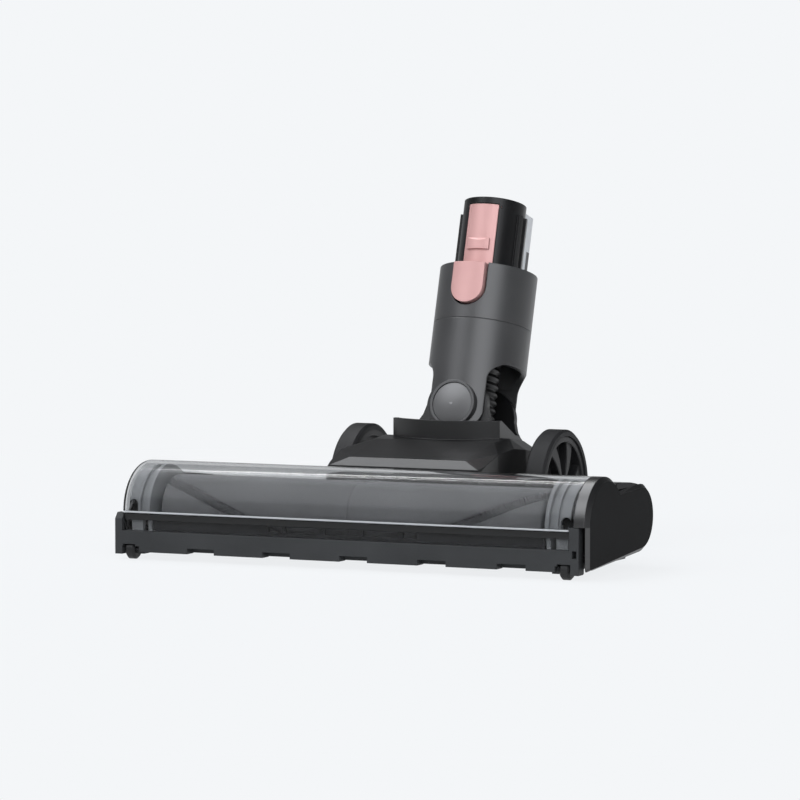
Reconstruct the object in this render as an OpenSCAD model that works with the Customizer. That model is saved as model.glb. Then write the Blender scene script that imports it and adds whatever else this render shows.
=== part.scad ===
// Motorised floor brush head of a stick vacuum cleaner, in millimetres.
// X runs across the head, Y from the front bar to the back, Z up from the floor.
// The model is drawn from the front bar and then moved so that its middle stands on the origin.

/* [Head] */
// Reach of the front bar to the left of the centre plane
bar_left = 126; // [118:1:130]
// Reach of the front bar to the right of the centre plane
bar_right = 125; // [122.5:0.5:126]
// Depth of the front bar
bar_d = 6; // [5.6:0.1:6.4]
// Height of the underside of the front bar
bar_z0 = 6.8; // [6.4:0.1:7]
// Height of the top of the front bar
bar_z1 = 14.6; // [13.5:0.1:15.5]
// Height of the sole above the floor
sole_z = 4.5; // [4:0.1:5]
// Thickness of the sole plate
sole_t = 2; // [1.6:0.1:2.4]
// Distance from the front bar to the back of the end lobes
lobe_back = 86; // [84:0.5:90]
// Half of the width of the suction mouth
mouth_hw = 106; // [100:0.5:106.5]
// Distance from the front bar to the back edge of the suction mouth
mouth_back = 45; // [40:0.5:46]
// Height of the flat deck behind the clear cover
deck_z = 39; // [38:0.1:40]
// Wall of the moulded housings
wall = 2; // [1.6:0.1:2.4]
// Width of one runner under the front bar
runner_w = 27; // [22:0.5:30]
// Spacing of the runners
runner_pitch = 42; // [40:0.5:42]
// Distance of the first runner from the left end of the bar
runner_x = 13.6; // [13:0.1:14.2]
// Drop of the runners below the bar
runner_h = 2.8; // [2.4:0.1:3.6]

/* [Clear cover] */
// Outside radius of the half tube over the brush
cover_r = 24.4; // [24:0.1:24.8]
// Wall of the clear cover
cover_wall = 1.6; // [1.2:0.1:1.8]
// Height of the brush axis
brush_z = 24; // [23.8:0.1:24.6]
// Right end of the clear cover, measured from the centre plane
cover_hx = 122.3; // [121.9:0.1:122.5]
// Closed left end of the clear cover, measured from the centre plane
cover_left = 123.2; // [122.4:0.1:123.4]
// Rounding of the closed left end of the cover
cover_edge = 5; // [3:0.5:7]
// Set-back of the clear skirt below the lip
skirt_back = 2; // [1.5:0.1:2.5]

/* [End pieces] */
// Side face of the drive cap, measured from the centre plane
cap_face_x = 130; // [128.5:0.1:131]
// Width of the bevel around the drive cap
cap_bevel = 2.2; // [1.5:0.1:2.6]
// Radius of the rounded back of the end lobes
lobe_r = 17; // [16:0.1:18]
// Inside face of the end lobes, measured from the centre plane
lobe_in_x = 109; // [108.5:0.1:110]
// Side face of the left end cap, measured from the centre plane
left_face_x = 124.9; // [124.7:0.1:125.2]
// Middle of the end plates, measured from the centre plane
plate_x = 108; // [107.8:0.1:108.2]
// Thickness of the end plates
plate_t = 2; // [1.6:0.1:2]
// Outside radius of the end plate rings under the clear cover
ring_r = 20.8; // [20:0.1:21.5]
// Radius of the round lock on the left end
lock_r = 10.5; // [9.5:0.1:12]

/* [Brush roller] */
// Outside radius of the soft pile
pile_r = 18.2; // [17:0.1:18.6]
// Outside radius of the stiff bristle rows
bristle_r = 18.9; // [18.7:0.1:19.4]
// Radius of the roller core
core_r = 11; // [10:0.1:12]
// Wall of the roller core
core_wall = 1.8; // [1.4:0.1:2.2]
// Half of the length of the roller core
core_hx = 104; // [98:0.5:104.5]
// Number of pile fields round the roller
pile_n = 2; // [2:1:3]
// Angle of one bristle row seen from the end
bristle_angle = 14; // [10:1:20]
// Gap between the pile and a bristle row, as an angle
pile_gap = 3; // [2:0.5:5]
// Twist of the rows over each half of the roller
row_twist = 150; // [90:5:200]
// Radius of the drive stub of the roller
stub_r = 5; // [4.5:0.1:5.5]
// Radius of the bearing stub at the left end
left_stub_r = 4; // [3.5:0.1:4.5]
// Wall of the bearing rings
bearing_wall = 3; // [2.5:0.1:3.2]

/* [Drive] */
// Distance of the motor shaft behind the front bar
motor_y = 66; // [65:0.5:67]
// Height of the motor shaft
motor_z = 22; // [21.5:0.1:22.5]
// Radius of the motor can
motor_r = 12; // [10.5:0.1:12.5]
// Length of the motor can
motor_len = 46; // [40:1:50]
// Distance from the centre plane to the back of the motor can
motor_x = 40; // [36:1:44]
// Radius of the motor shaft
shaft_r = 1.5; // [1.2:0.1:1.8]
// Pitch of the belt teeth
belt_pitch = 3; // [2.8:0.1:3.1]
// Teeth of the motor pulley
motor_teeth = 12; // [12:1:14]
// Teeth of the brush pulley
brush_teeth = 30; // [28:1:30]
// Depth of a pulley tooth
tooth_h = 1.1; // [0.8:0.1:1.3]
// Thickness of the belt
belt_t = 1.3; // [1:0.1:1.6]
// Width of the belt
belt_w = 6; // [5:0.1:6.5]

/* [Rear wheels] */
// Radius of the rear wheels
wheel_r = 30.7; // [29.5:0.1:31.5]
// Distance of the wheel axis behind the front bar
wheel_y = 139.5; // [138:0.5:141]
// Inside face of the rear wheels, measured from the centre plane
wheel_in_x = 49.2; // [48.6:0.1:50]
// Width of the rear wheels
wheel_w = 11; // [10:0.1:12]
// Thickness of the soft tyre
tyre_t = 3.4; // [3:0.1:4]
// Rounding of the tyre shoulders
tyre_edge = 1.2; // [0.8:0.1:1.5]
// Width of the wheel rim under the tyre
rim_t = 3; // [2.4:0.1:3.5]
// Number of spoke pairs
spoke_n = 7; // [6:1:8]
// Thickness of a spoke
spoke_t = 1.3; // [1:0.1:1.6]
// Radius of the wheel axles
axle_r = 3; // [2.5:0.1:3.4]

/* [Front rollers] */
// Radius of the front rollers
roller_r = 4.8; // [4.6:0.1:5]
// Width of the front rollers
roller_w = 5.2; // [4.5:0.1:6]
// Middle of the front rollers, measured from the middle of the front bar
roller_x = 117.7; // [117.5:0.1:117.9]
// Width of the fork slots that hold the front rollers
slot_w = 7; // [6.6:0.1:7.2]
// Distance of the roller axis behind the front bar
roller_y = 5; // [5:0.1:5.4]
// Radius of the front roller pins
roller_pin_r = 1.4; // [1.1:0.1:1.6]

/* [Rear hood] */
// Distance of the foot of the hood behind the front bar
hood_y0 = 71; // [69:0.5:72]
// Distance of the back end of the hood behind the front bar
hood_y1 = 150; // [148:0.5:152]
// Half of the width of the hood
hood_hw = 44; // [43:0.1:45]
// Height of the hood at its shoulders
hood_z = 57; // [56:0.1:58]
// Height of the socket rim
rim_z = 66; // [65:0.1:66.5]
// Half of the width of the socket rim
rim_hw = 30; // [29.6:0.1:31]
// Distance of the front of the socket rim behind the front bar
rim_y = 114; // [113:0.1:114.3]
// Radius of the bowed front of the socket rim
rim_bow = 52; // [45:1:60]
// Thickness of the socket rim
rim_wall = 2.6; // [2.2:0.1:3]

/* [Swivel] */
// Distance of the tilt axis behind the front bar
tilt_y = 148; // [147.5:0.1:148.5]
// Height of the tilt axis
tilt_z = 38; // [37.5:0.1:38.5]
// Distance from the tilt axis up to the roll axis
yoke_len = 29.7; // [29.2:0.1:30.5]
// Lean of the neck towards the back at rest
neck_lean = 16.5; // [14:0.5:18]
// Radius of the swivel drum
drum_r = 19; // [18:0.1:19.4]
// Half of the length of the swivel drum
drum_hx = 27.5; // [27:0.1:28]
// Radius of the tilt pins
tilt_pin_r = 4; // [3.5:0.1:4.5]
// Radius of the rounded top of the yoke cheeks
cheek_r = 17; // [16:0.1:18]
// Thickness of the yoke cheeks
cheek_t = 3.5; // [3:0.1:4]
// Radius of the roll pins
roll_pin_r = 5; // [4.5:0.1:5.5]

/* [Neck] */
// Outside radius of the neck
neck_r = 25.7; // [25.5:0.1:26.2]
// Wall of the neck above the side windows
neck_wall = 3; // [2.5:0.1:3.4]
// Half of the depth of the side windows, front to back
window_hd = 20.6; // [20.4:0.1:21]
// Height of the top of the side windows above the roll axis
window_top = 24; // [23:0.1:25]
// Rounding of the upper corners of the side windows
window_corner = 9; // [7:0.5:11]
// Height of the seam between neck and collar above the roll axis
seam_z = 45.9; // [44:0.1:48]
// Height of the top of the collar above the roll axis
collar_z = 75.8; // [74:0.1:77]
// Radius of the round pivot caps
cap_r = 10.7; // [10:0.1:11.2]
// Radius of the raised ring round a pivot cap
cap_ring_r = 12.4; // [12:0.1:12.8]
// Height of the raised ring in front of the neck
cap_ring_h = 1.4; // [1:0.1:1.8]

/* [Hose] */
// Outside radius of the corrugated hose
hose_r = 12; // [11.5:0.1:12.6]
// Spacing of the hose folds
hose_pitch = 4.2; // [3.8:0.1:4.6]
// Depth of the hose folds
hose_fold = 1.5; // [1.2:0.1:1.8]
// Wall of the hose
hose_wall = 1; // [0.8:0.1:1.2]
// Height of the lower end of the hose above the roll axis
hose_z0 = -8; // [-8.5:0.1:-7.5]
// Height of the upper end of the hose above the roll axis
hose_z1 = 34; // [32:0.1:35]

/* [Wand spigot] */
// Radius of the spigot that the wand slides over
spigot_r = 16.4; // [16.2:0.1:16.8]
// Radius of the airway through the spigot
airway_r = 12.8; // [12.2:0.1:12.9]
// Height of the tip of the spigot above the roll axis
spigot_z = 112.7; // [110:0.1:116]
// Offset of the spigot towards the front of the neck
spigot_off = 2; // [1:0.1:2.4]
// Height of the guide ribs above the roll axis at their top
rib_top = 106; // [100:0.5:107]
// Outside radius of the guide ribs
rib_r = 17.8; // [17.2:0.1:18.2]
// Half of the width of the terminal block behind the spigot
terminal_hw = 11.5; // [10:0.1:12]
// Reach of the terminal block behind the neck axis
terminal_back = 22.6; // [21:0.1:23]
// Height of the top of the terminal block above the roll axis
terminal_top = 112; // [108:0.5:112.5]
// Height of the step in the terminal block above the roll axis
terminal_step = 93; // [90:0.5:96]

/* [Release latch] */
// Half of the width of the latch strip
strip_hw = 8.3; // [7.5:0.1:8.6]
// Thickness of the latch strip
strip_t = 1; // [0.8:0.1:1.2]
// Height of the top of the latch strip above the roll axis
strip_top = 109; // [106:0.1:109.5]
// Half of the width of the release button
button_hw = 8.8; // [8:0.1:9]
// Height of the bottom of the release button above the roll axis
button_bottom = 53.7; // [53:0.1:56]
// Distance of the button face from the neck axis
button_face = 27.5; // [27:0.1:28]
// Gap between the button and the notch in the collar
button_gap = 1; // [0.8:0.1:1.3]
// Height of the catch on the latch strip
catch_h = 1.2; // [0.8:0.1:1.5]

/* [Fits] */
// Radial clearance of a running fit
run_gap = 0.05; // [0.03:0.01:0.1]
// Gap between neighbouring pieces
gap = 0.3; // [0.2:0.05:0.4]

/* [Hidden] */
$fn = 64;

// Overrun of a cut past the face that it opens
over = 1;
// Lead of the tube over the front face of the bar
tube_lead = 0.4;
brush_y = cover_r - tube_lead;
cover_ir = cover_r - cover_wall;
// Middle of the bounding box, which becomes the origin
terminal_y = tilt_y + (yoke_len + terminal_top) * sin(neck_lean) + terminal_back * cos(neck_lean);
mid_x = (cap_face_x - bar_left) / 2;
bar_mid = (bar_right - bar_left) / 2;
mid_y = (terminal_y - tube_lead) / 2;
// Rounded back of the end lobes
lobe_y = lobe_back - lobe_r;
lobe_z = lobe_r + 8;
// Thickness of the end blocks of the front bar, and their tops
left_block_t = 4;
right_block_t = 5;
left_block_top = brush_z - 0.6;
right_block_top = brush_z + 1.5;
// Side plate of the drive cap
cap_plate_x = cap_face_x - cap_bevel;
cap_groove = 1.4;
// Front and back of the clear skirt
skirt_y = skirt_back + cover_wall;
// Belt run
motor_pulley_r = motor_teeth * belt_pitch / (2 * PI);
brush_pulley_r = brush_teeth * belt_pitch / (2 * PI);
pulley_x = plate_x + plate_t / 2 + 3;
pulley_w = belt_w + 2;
shaft_angle = atan2(motor_z - brush_z, motor_y - brush_y);
shaft_dist = norm([motor_y - brush_y, motor_z - brush_z]);
// Roller bearings
right_bearing_r = stub_r + run_gap + bearing_wall;
left_bearing_r = left_stub_r + run_gap + bearing_wall;
bearing_w = 3.4;
// Lock
lock_x = left_face_x + 1.1;
// Hood socket
well_hw = drum_hx + gap;
ear_t = 6;
// Neck parts
neck_ir = neck_r - neck_wall;
cheek_y = window_hd - gap;
spigot_foot = 38;
spigot_flange_r = neck_ir - gap;
flange_t = 3;
// Pocket behind the latch strip
strip_r = spigot_r - 0.2;
pocket_r = airway_r + 0.8;
pocket_hw = strip_hw + gap;
// Hinge stubs of the strip, seen from the spigot axis
stub_y = -airway_r + 0.2;
stub_z = strip_top - 1.2;
latch_stub_r = 0.7;
catch_z = strip_top - 21.5;
button_top = collar_z - 0.4;
notch_hw = button_hw + button_gap;
notch_z = button_bottom - button_gap + notch_hw;
button_in = spigot_off + spigot_r + 2.4;

// Places shared by the pieces

// From the front bar to the origin of the part
module head() {
    translate([-mid_x, -mid_y, 0]) children();
}

// Neck frame: Z runs up the neck from the roll axis, -Y is the front of the neck
module neck() {
    head() translate([0, tilt_y, tilt_z]) rotate([-neck_lean, 0, 0])
        translate([0, 0, yoke_len]) children();
}

// Outline drawn in Y and Z, carried along X from x0 to x1
module along_x(x0, x1) {
    translate([x0, 0, 0]) rotate([90, 0, 90]) linear_extrude(x1 - x0) children();
}

// Cylinder along X
module bar_x(r, x0, x1, y, z) {
    translate([x0, y, z]) rotate([0, 90, 0]) cylinder(r = r, h = x1 - x0);
}

// Profile of radius and X turned round the brush axis, from a0 to a1 degrees over the top
module around_brush(a0, a1) {
    translate([0, brush_y, brush_z]) rotate([0, 90, 0]) rotate([0, 0, 90 + a0])
        rotate_extrude(angle = a1 - a0, $fn = 96) children();
}

// Box between two corners
module box(a, b) {
    translate(a) cube(b - a);
}

// Copies on the left and the right
module both_sides() {
    children();
    mirror([1, 0, 0]) children();
}

// Outline of a belt run round two pulleys, grown by the given amount
module belt_outline(r_a, r_b) {
    s = (r_a - r_b) / shaft_dist;
    c = sqrt(1 - s * s);
    translate([brush_y, brush_z]) rotate(shaft_angle) {
        circle(r_a);
        translate([shaft_dist, 0]) circle(r_b);
        polygon([[r_a * s, r_a * c], [shaft_dist + r_b * s, r_b * c],
            [shaft_dist + r_b * s, -r_b * c], [r_a * s, -r_a * c]]);
    }
}

// Side outline of an end lobe, shrunk by inset
module lobe_outline(inset) {
    r = lobe_r - inset;
    hull() {
        translate([lobe_y, lobe_z]) circle(r);
        translate([brush_y + 5, lobe_z + lobe_r + 1.7 - inset]) circle(0.5);
        translate([bar_d + 4 + inset, sole_z + 2 + inset]) circle(2);
        translate([bar_d + 4 + inset, brush_z - inset]) circle(2);
    }
}

// Base with the front bar, sole, chamber wall, motor tray and wheel carriers

module runner_profile() {
    difference() {
        translate([0, bar_z0 - runner_h]) square([13, runner_h + over]);
        translate([13, bar_z0 - runner_h - 5]) circle(6.5);
        translate([-1.2, bar_z0 - runner_h - 1.2]) rotate(45) square(2.4, center = true);
    }
}

module chamber_wall() {
    around_brush(-58, -0.5) translate([cover_ir, -plate_x + plate_t / 2 + 0.1])
        square([wall + 0.6, 2 * plate_x - plate_t - 0.2]);
}

// Fork and slot of a front roller, drawn to the right of the middle of the bar
module roller_fork() {
    for (x = [roller_x - slot_w / 2 - 3.6, roller_x + slot_w / 2])
        box([x, bar_d / 2, sole_z - 1.6], [x + 3.6, roller_y + 3.5, 11]);
}

module roller_slot() {
    box([roller_x - slot_w / 2, -over, 0],
        [roller_x + slot_w / 2, roller_y + roller_r + 0.5, bar_z0 + 1]);
    bar_x(roller_r + 0.5, roller_x - slot_w / 2, roller_x + slot_w / 2, roller_y, roller_r);
    bar_x(roller_pin_r, roller_x - slot_w / 2 - 2, roller_x + slot_w / 2 + 2, roller_y, roller_r);
}

module wheel_carrier() {
    difference() {
        union() {
            box([hood_hw - 4 - wall, lobe_back - 4, sole_z], [hood_hw - 4, hood_y1 - 2, 36]);
            bar_x(axle_r + 3.2, well_hw + ear_t, wheel_in_x - gap, wheel_y, wheel_r);
            box([well_hw + ear_t - over, wheel_y - 2, sole_z],
                [hood_hw - 4, wheel_y + 2, wheel_r - axle_r - 1]);
            along_x(well_hw, well_hw + ear_t) {
                translate([tilt_y, tilt_z]) circle(tilt_pin_r + 4);
                translate([tilt_y - tilt_pin_r - 4, sole_z])
                    square([2 * tilt_pin_r + 8, tilt_z - sole_z]);
            }
        }
        bar_x(axle_r, 0, cover_hx, wheel_y, wheel_r);
        bar_x(tilt_pin_r, 0, well_hw + ear_t + over, tilt_y, tilt_z);
    }
}

screw_x = [97, 28.5, -28.5, -97];
screw_y = 80;
boss_r = 4.5;

module base_housing() color([0.24, 0.245, 0.25]) head() {
    difference() {
        union() {
            // front bar with its two end blocks
            box([-bar_left, 0, bar_z0], [bar_right, bar_d, bar_z1]);
            along_x(-bar_left, -bar_left + left_block_t)
                polygon([[0, sole_z - 1.8], [bar_d, sole_z - 1.8], [bar_d, left_block_top],
                    [2.5, left_block_top], [0, left_block_top - 3]]);
            along_x(bar_right - right_block_t, bar_right)
                polygon([[0, sole_z - 1.8], [bar_d, sole_z - 1.8], [bar_d, right_block_top],
                    [0, right_block_top]]);
            // six runners
            for (i = [0:5]) {
                x = runner_x - bar_left + i * runner_pitch;
                along_x(x, min(x + runner_w, bar_mid + roller_x - slot_w / 2 - over)) runner_profile();
            }
            // sole with the tongue below the swivel
            box([-cover_hx + over, bar_d - over, sole_z],
                [cover_hx - over, lobe_back - lobe_r, sole_z + sole_t]);
            box([-lobe_in_x + 3, lobe_y - over, sole_z], [lobe_in_x - 3, lobe_back, sole_z + sole_t]);
            box([-hood_hw + 4, lobe_back - over, sole_z],
                [hood_hw - 4, hood_y1 - 2, sole_z + sole_t]);
            translate([bar_mid, 0, 0]) both_sides() roller_fork();
            chamber_wall();
            // motor tray: back wall and side walls
            box([-lobe_in_x + 3, lobe_back - wall, sole_z],
                [-hood_hw + 4 + wall, lobe_back, deck_z - wall - gap]);
            box([hood_hw - 4 - wall, lobe_back - wall, sole_z],
                [lobe_in_x - 3, lobe_back, deck_z - wall - gap]);
            both_sides() box([lobe_in_x - 3 - wall, brush_y + cover_r + 1, sole_z],
                [lobe_in_x - 3, lobe_back, deck_z - wall - gap]);
            both_sides() wheel_carrier();
            for (x = screw_x) translate([x, screw_y, sole_z]) cylinder(r = boss_r, h = 8);
        }
        // suction mouth
        box([-mouth_hw, bar_d + 1, 0], [mouth_hw, mouth_back, sole_z + sole_t + over]);
        // way from the chamber into the air duct
        box([-18, brush_y + 10, sole_z + sole_t + 0.5], [18, brush_y + cover_r + 6, brush_z - 2]);
        // clearance round the brush ends in the sole
        bar_x(cover_ir - 0.2, -plate_x - plate_t / 2 - gap, plate_x + plate_t / 2 + gap,
            brush_y, brush_z);
        translate([bar_mid, 0, 0]) both_sides() roller_slot();
        // way of the motor shaft through the side wall
        bar_x(2 * shaft_r, lobe_in_x - 3 - 2 * wall, lobe_in_x, motor_y, motor_z);
        // slot and keyhole in the right end block
        box([bar_right - 3.4, -over, bar_z1 - 3.8], [bar_right - 1.1, bar_d - 2, bar_z1 - 0.2]);
        // screw holes with counterbores
        for (x = screw_x) translate([x, screw_y, 0]) {
            cylinder(r = 1.6, h = 30);
            cylinder(r = 3, h = sole_z + 4);
        }
    }
}

// Ribbed air inlet behind the clear skirt
window_edges = [[-41.8, -34.7], [-32.3, -13.6], [-10.7, 7.7], [10.2, 28.5], [31.3, 38.8]];

module inlet_grille() color([0.12, 0.12, 0.125]) head() difference() {
    union() {
        box([-plate_x + 2, skirt_y + gap, bar_z1], [plate_x - 2, skirt_y + 1.2, brush_z - 3.2]);
        box([-plate_x + 2, skirt_y + gap, bar_z1], [plate_x - 2, skirt_y + 1.8, bar_z1 + 1.6]);
    }
    for (w = window_edges)
        box([w[0], 0, bar_z1 + 2], [w[1], bar_d + 2, brush_z - 4.6]);
}

// Soft strip that sweeps the floor behind the mouth
module rear_seal_strip() color([0.35, 0.1, 0.1]) head()
    along_x(-mouth_hw, mouth_hw)
        polygon([[mouth_back + 1, sole_z - gap / 10], [mouth_back + 5, sole_z - gap / 10],
            [mouth_back + 4, sole_z - 2.5], [mouth_back + 2.5, sole_z - 2.5]]);

// Clear half tube with its closed left end, lip and skirt
module cover_half_profile(r, x0, x1, edge) {
    translate([0, x0 + edge]) square([r, x1 - x0 - edge]);
    translate([0, x0]) square([r - edge, edge]);
    translate([r - edge, x0 + edge]) circle(edge);
}

module clear_cover() color([0.6, 0.62, 0.64, 0.45]) head() {
    difference() {
        around_brush(0.5, 180) intersection() {
            difference() {
                cover_half_profile(cover_r, -cover_left, cover_hx, cover_edge);
                cover_half_profile(cover_ir, -cover_left + cover_wall, cover_hx + over,
                    cover_edge - cover_wall);
                translate([-over, -cover_left - over]) square([lock_r + 1.5 + over, cover_edge]);
            }
            translate([0, -cover_left - over]) square([cover_r + over, 2 * cover_left + 2 * over]);
        }
        // cuts for the end blocks of the bar
        box([-bar_left - over, -over, 0],
            [-bar_left + left_block_t + gap, bar_d + gap, left_block_top + gap]);
        box([bar_right - right_block_t - gap, -over, 0],
            [bar_right, bar_d + gap, right_block_top + gap]);
        // way of the belt through the back
        intersection() {
            along_x(plate_x + 3, cover_hx + over) belt_outline(brush_pulley_r + 3, motor_pulley_r + 3);
            box([0, brush_y + cover_r / 2, 0], [cap_face_x, lobe_back, 3 * cover_r]);
        }
    }
    // lip and skirt
    x0 = -bar_left + left_block_t + gap;
    x1 = bar_right - right_block_t - gap;
    box([x0, 0, brush_z - 1.2], [x1, skirt_y, brush_z]);
    box([x0, skirt_back, bar_z1 + gap], [x1, skirt_y, brush_z - 0.5]);
}

// End plate that carries a roller bearing, with the grey ring seen through the cover
module end_plate(seat_r) {
    difference() {
        union() {
            intersection() {
                bar_x(cover_ir - gap, plate_x - plate_t / 2, plate_x + plate_t / 2, brush_y, brush_z);
                box([plate_x - plate_t, 0, sole_z + sole_t + gap],
                    [plate_x + plate_t, 2 * cover_r, 3 * cover_r]);
            }
            bar_x(seat_r + 2, plate_x - plate_t / 2, plate_x + bearing_w, brush_y, brush_z);
            around_brush(45, 180) {
                translate([ring_r - 1.6, plate_x]) square([1.6, cover_hx - plate_x - 2.8]);
                translate([ring_r - 1.6, plate_x + 4.5]) square([2.9, 1.2]);
            }
            // foot behind the clear skirt
            box([plate_x + 4, skirt_y + gap, bar_z1], [cover_hx - 4, bar_d + 0.4, brush_z + 2]);
        }
        // clear of the lip and skirt
        box([plate_x - plate_t, 0, 0], [cover_hx, skirt_y + gap, brush_z + gap]);
        bar_x(seat_r, plate_x - plate_t, plate_x + 2 * bearing_w, brush_y, brush_z);
        // arched opening at the front of the ring
        translate([roller_x - 0.5, 0, brush_z + 3.4]) rotate([-90, 0, 0]) cylinder(r = 2.6, h = 8);
        box([roller_x - 3.1, 0, brush_z - 0.8], [roller_x + 2.1, 8, brush_z + 3.4]);
    }
}

module end_plate_right() color([0.5, 0.52, 0.53]) head() end_plate(right_bearing_r);
module end_plate_left() color([0.5, 0.52, 0.53]) head() mirror([1, 0, 0]) end_plate(left_bearing_r);

// Outline of the side plate of the drive cap, which reaches to the front
module plate_outline(inset) {
    hull() {
        translate([lobe_y, lobe_z]) circle(lobe_r - inset);
        translate([brush_y + 17, lobe_z + lobe_r - 3.3 - inset / 2]) circle(0.8);
        for (z = [sole_z + 1.2 + inset / 2, right_block_top])
            translate([2.5 + inset / 2, z]) circle(1.4);
    }
}

// Drive cap on the right: bevelled disc over the tube end and lobe over the belt
module end_cap_right() color([0.2, 0.205, 0.21]) head() difference() {
    union() {
        intersection() {
            union() {
                bar_x(cover_r, cover_hx + 0.2, cap_plate_x, brush_y, brush_z);
                translate([cap_plate_x, brush_y, brush_z]) rotate([0, 90, 0])
                    cylinder(r1 = cover_r, r2 = cover_r - cap_bevel, h = cap_bevel);
            }
            box([0, -over, right_block_top + gap], [cap_face_x + over, 2 * cover_r, 3 * cover_r]);
        }
        hull() {
            along_x(cap_plate_x, cap_plate_x + 0.2) plate_outline(0);
            along_x(cap_face_x - 0.2, cap_face_x) plate_outline(cap_bevel);
        }
        along_x(bar_right + gap, cap_plate_x) lobe_outline(0);
        intersection() {
            along_x(lobe_in_x, cap_plate_x) lobe_outline(0);
            box([0, brush_y + cover_r * 0.72, sole_z + sole_t + gap],
                [cap_face_x, lobe_back + over, 3 * lobe_r]);
        }
    }
    // room for the belt and pulleys, open towards the chamber
    along_x(0, cap_face_x - 3 * wall) belt_outline(brush_pulley_r + 4, motor_pulley_r + 6.5);
    bar_x(cover_r + gap, 0, cover_hx, brush_y, brush_z);
    // sloping top edge and the groove between it and the side plate
    translate([cap_plate_x - cap_groove, brush_y + 20, lobe_z + lobe_r - 1.6])
        rotate([0, 24, 0]) box([-5, 0, 0], [cap_groove, lobe_y + 8 - brush_y - 20, 12]);
    along_x(cap_plate_x - cap_groove, cap_plate_x)
        translate([brush_y + 18, lobe_z + lobe_r - 6.5]) rotate(4) square([32, 12]);
}

// Left cap: side plate with a rounded lobe
module end_cap_left() color([0.2, 0.205, 0.21]) head() mirror([1, 0, 0]) difference() {
    union() {
        along_x(cover_left + gap, left_face_x) lobe_outline(1.6);
        intersection() {
            along_x(lobe_in_x, left_face_x - 0.2) lobe_outline(1);
            box([0, brush_y + cover_r * 0.72, sole_z + sole_t + gap],
                [cap_face_x, lobe_back + over, 3 * lobe_r]);
        }
    }
    along_x(0, left_face_x - wall) intersection() {
        lobe_outline(3);
        translate([brush_y + cover_r, 0]) square([lobe_back, 3 * lobe_r]);
    }
    bar_x(cover_r + gap, 0, cover_left + gap, brush_y, brush_z);
    bar_x(lock_r - 2 + run_gap, 0, bar_left, brush_y, brush_z);
}

// Flat cover behind the clear tube, over motor and belt
module deck_cover() color([0.2, 0.205, 0.21]) head() difference() {
    union() {
        along_x(-lobe_in_x + gap, lobe_in_x - gap) difference() {
            translate([brush_y, brush_z + 0.5]) square([lobe_back - brush_y, deck_z - brush_z - 0.5]);
            translate([brush_y, brush_z]) circle(cover_r + gap, $fn = 96);
            translate([brush_y + cover_r + 1, 0]) square([lobe_back, deck_z - wall]);
        }
        for (x = screw_x) translate([x, screw_y, sole_z + 8 + gap])
            cylinder(r = 3.4, h = deck_z - wall - sole_z - 8);
    }
    for (x = screw_x) translate([x, screw_y, 0]) cylinder(r = 1.5, h = 24);
}

// Screws that hold the deck cover from below
module housing_screws() color([0.55, 0.55, 0.57]) head()
    for (x = screw_x) translate([x, screw_y, sole_z + 4]) difference() {
        union() {
            translate([0, 0, -1.8]) cylinder(r = 2.7, h = 1.8);
            cylinder(r = 1.5, h = 13);
        }
        translate([0, 0, -2]) box([-1.6, -0.3, 0], [1.6, 0.3, 1]);
        translate([0, 0, -2]) box([-0.3, -1.6, 0], [0.3, 1.6, 1]);
    }

// Faceted hood with the socket rim of the swivel

// Cross-section slab of the hood at one distance from the bar
module hood_slab(y, hw, z_side, hw_top, z_top) {
    translate([0, y, 0]) rotate([90, 0, 0]) linear_extrude(0.2)
        polygon([[-hw, 30], [-hw, z_side], [-hw_top, z_top], [hw_top, z_top], [hw, z_side], [hw, 30]]);
}

hood_rows = [
    [hood_y0, hood_hw - 1.5, 44, hood_hw - 3, 45],
    [hood_y0 + 5, hood_hw - 1, 46.5, hood_hw - 12, 49],
    [hood_y0 + 19, hood_hw, 51.5, hood_hw - 12, 52],
    [hood_y0 + 39, hood_hw, 53, rim_hw + 3, 56],
    [hood_y0 + 54, hood_hw, 51.5, rim_hw + 5, hood_z],
    [hood_y1, hood_hw - 2, 48, rim_hw + 2, hood_z - 3]];

module rim_outline() {
    intersection() {
        translate([0, rim_y + rim_bow]) circle(rim_bow, $fn = 96);
        translate([-rim_hw, rim_y - over]) square([2 * rim_hw, 60]);
    }
}

module rear_hood() color([0.2, 0.205, 0.21]) head() difference() {
    union() {
        for (i = [0:4]) hull() {
            hood_slab(hood_rows[i][0], hood_rows[i][1], hood_rows[i][2], hood_rows[i][3], hood_rows[i][4]);
            hood_slab(hood_rows[i + 1][0], hood_rows[i + 1][1], hood_rows[i + 1][2],
                hood_rows[i + 1][3], hood_rows[i + 1][4]);
        }
        // socket rim, falling towards the back
        difference() {
            translate([0, 0, hood_z - 6]) linear_extrude(rim_z - hood_z + 6) rim_outline();
            translate([0, rim_y + 12, rim_z]) rotate([-26, 0, 0])
                box([-rim_hw - over, 0, 0], [rim_hw + over, 60, 30]);
            box([-rim_hw - over, hood_y1, 0], [rim_hw + over, hood_y1 + 60, 2 * rim_z]);
        }
    }
    // inside of the hood
    box([-hood_hw + wall, hood_y0 + wall + 2, 0], [hood_hw - wall, hood_y1 + over, hood_z - 13]);
    box([-hood_hw + wall, hood_y0 + 26, 0], [hood_hw - wall, hood_y1 + over, hood_z - 9]);
    // socket well, open at the back
    translate([0, 0, 20]) linear_extrude(rim_z) intersection() {
        translate([0, rim_y + rim_bow]) circle(rim_bow - rim_wall, $fn = 96);
        translate([-well_hw, rim_y]) square([2 * well_hw, hood_y1 - rim_y + over]);
    }
    // seat on the deck, and the lower edge behind it
    box([-hood_hw - over, 0, 0], [hood_hw + over, lobe_back + gap, deck_z]);
    box([-hood_hw - over, lobe_back, 0], [hood_hw + over, hood_y1 + over, wheel_r + axle_r + 3.2 + gap]);
}

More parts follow.
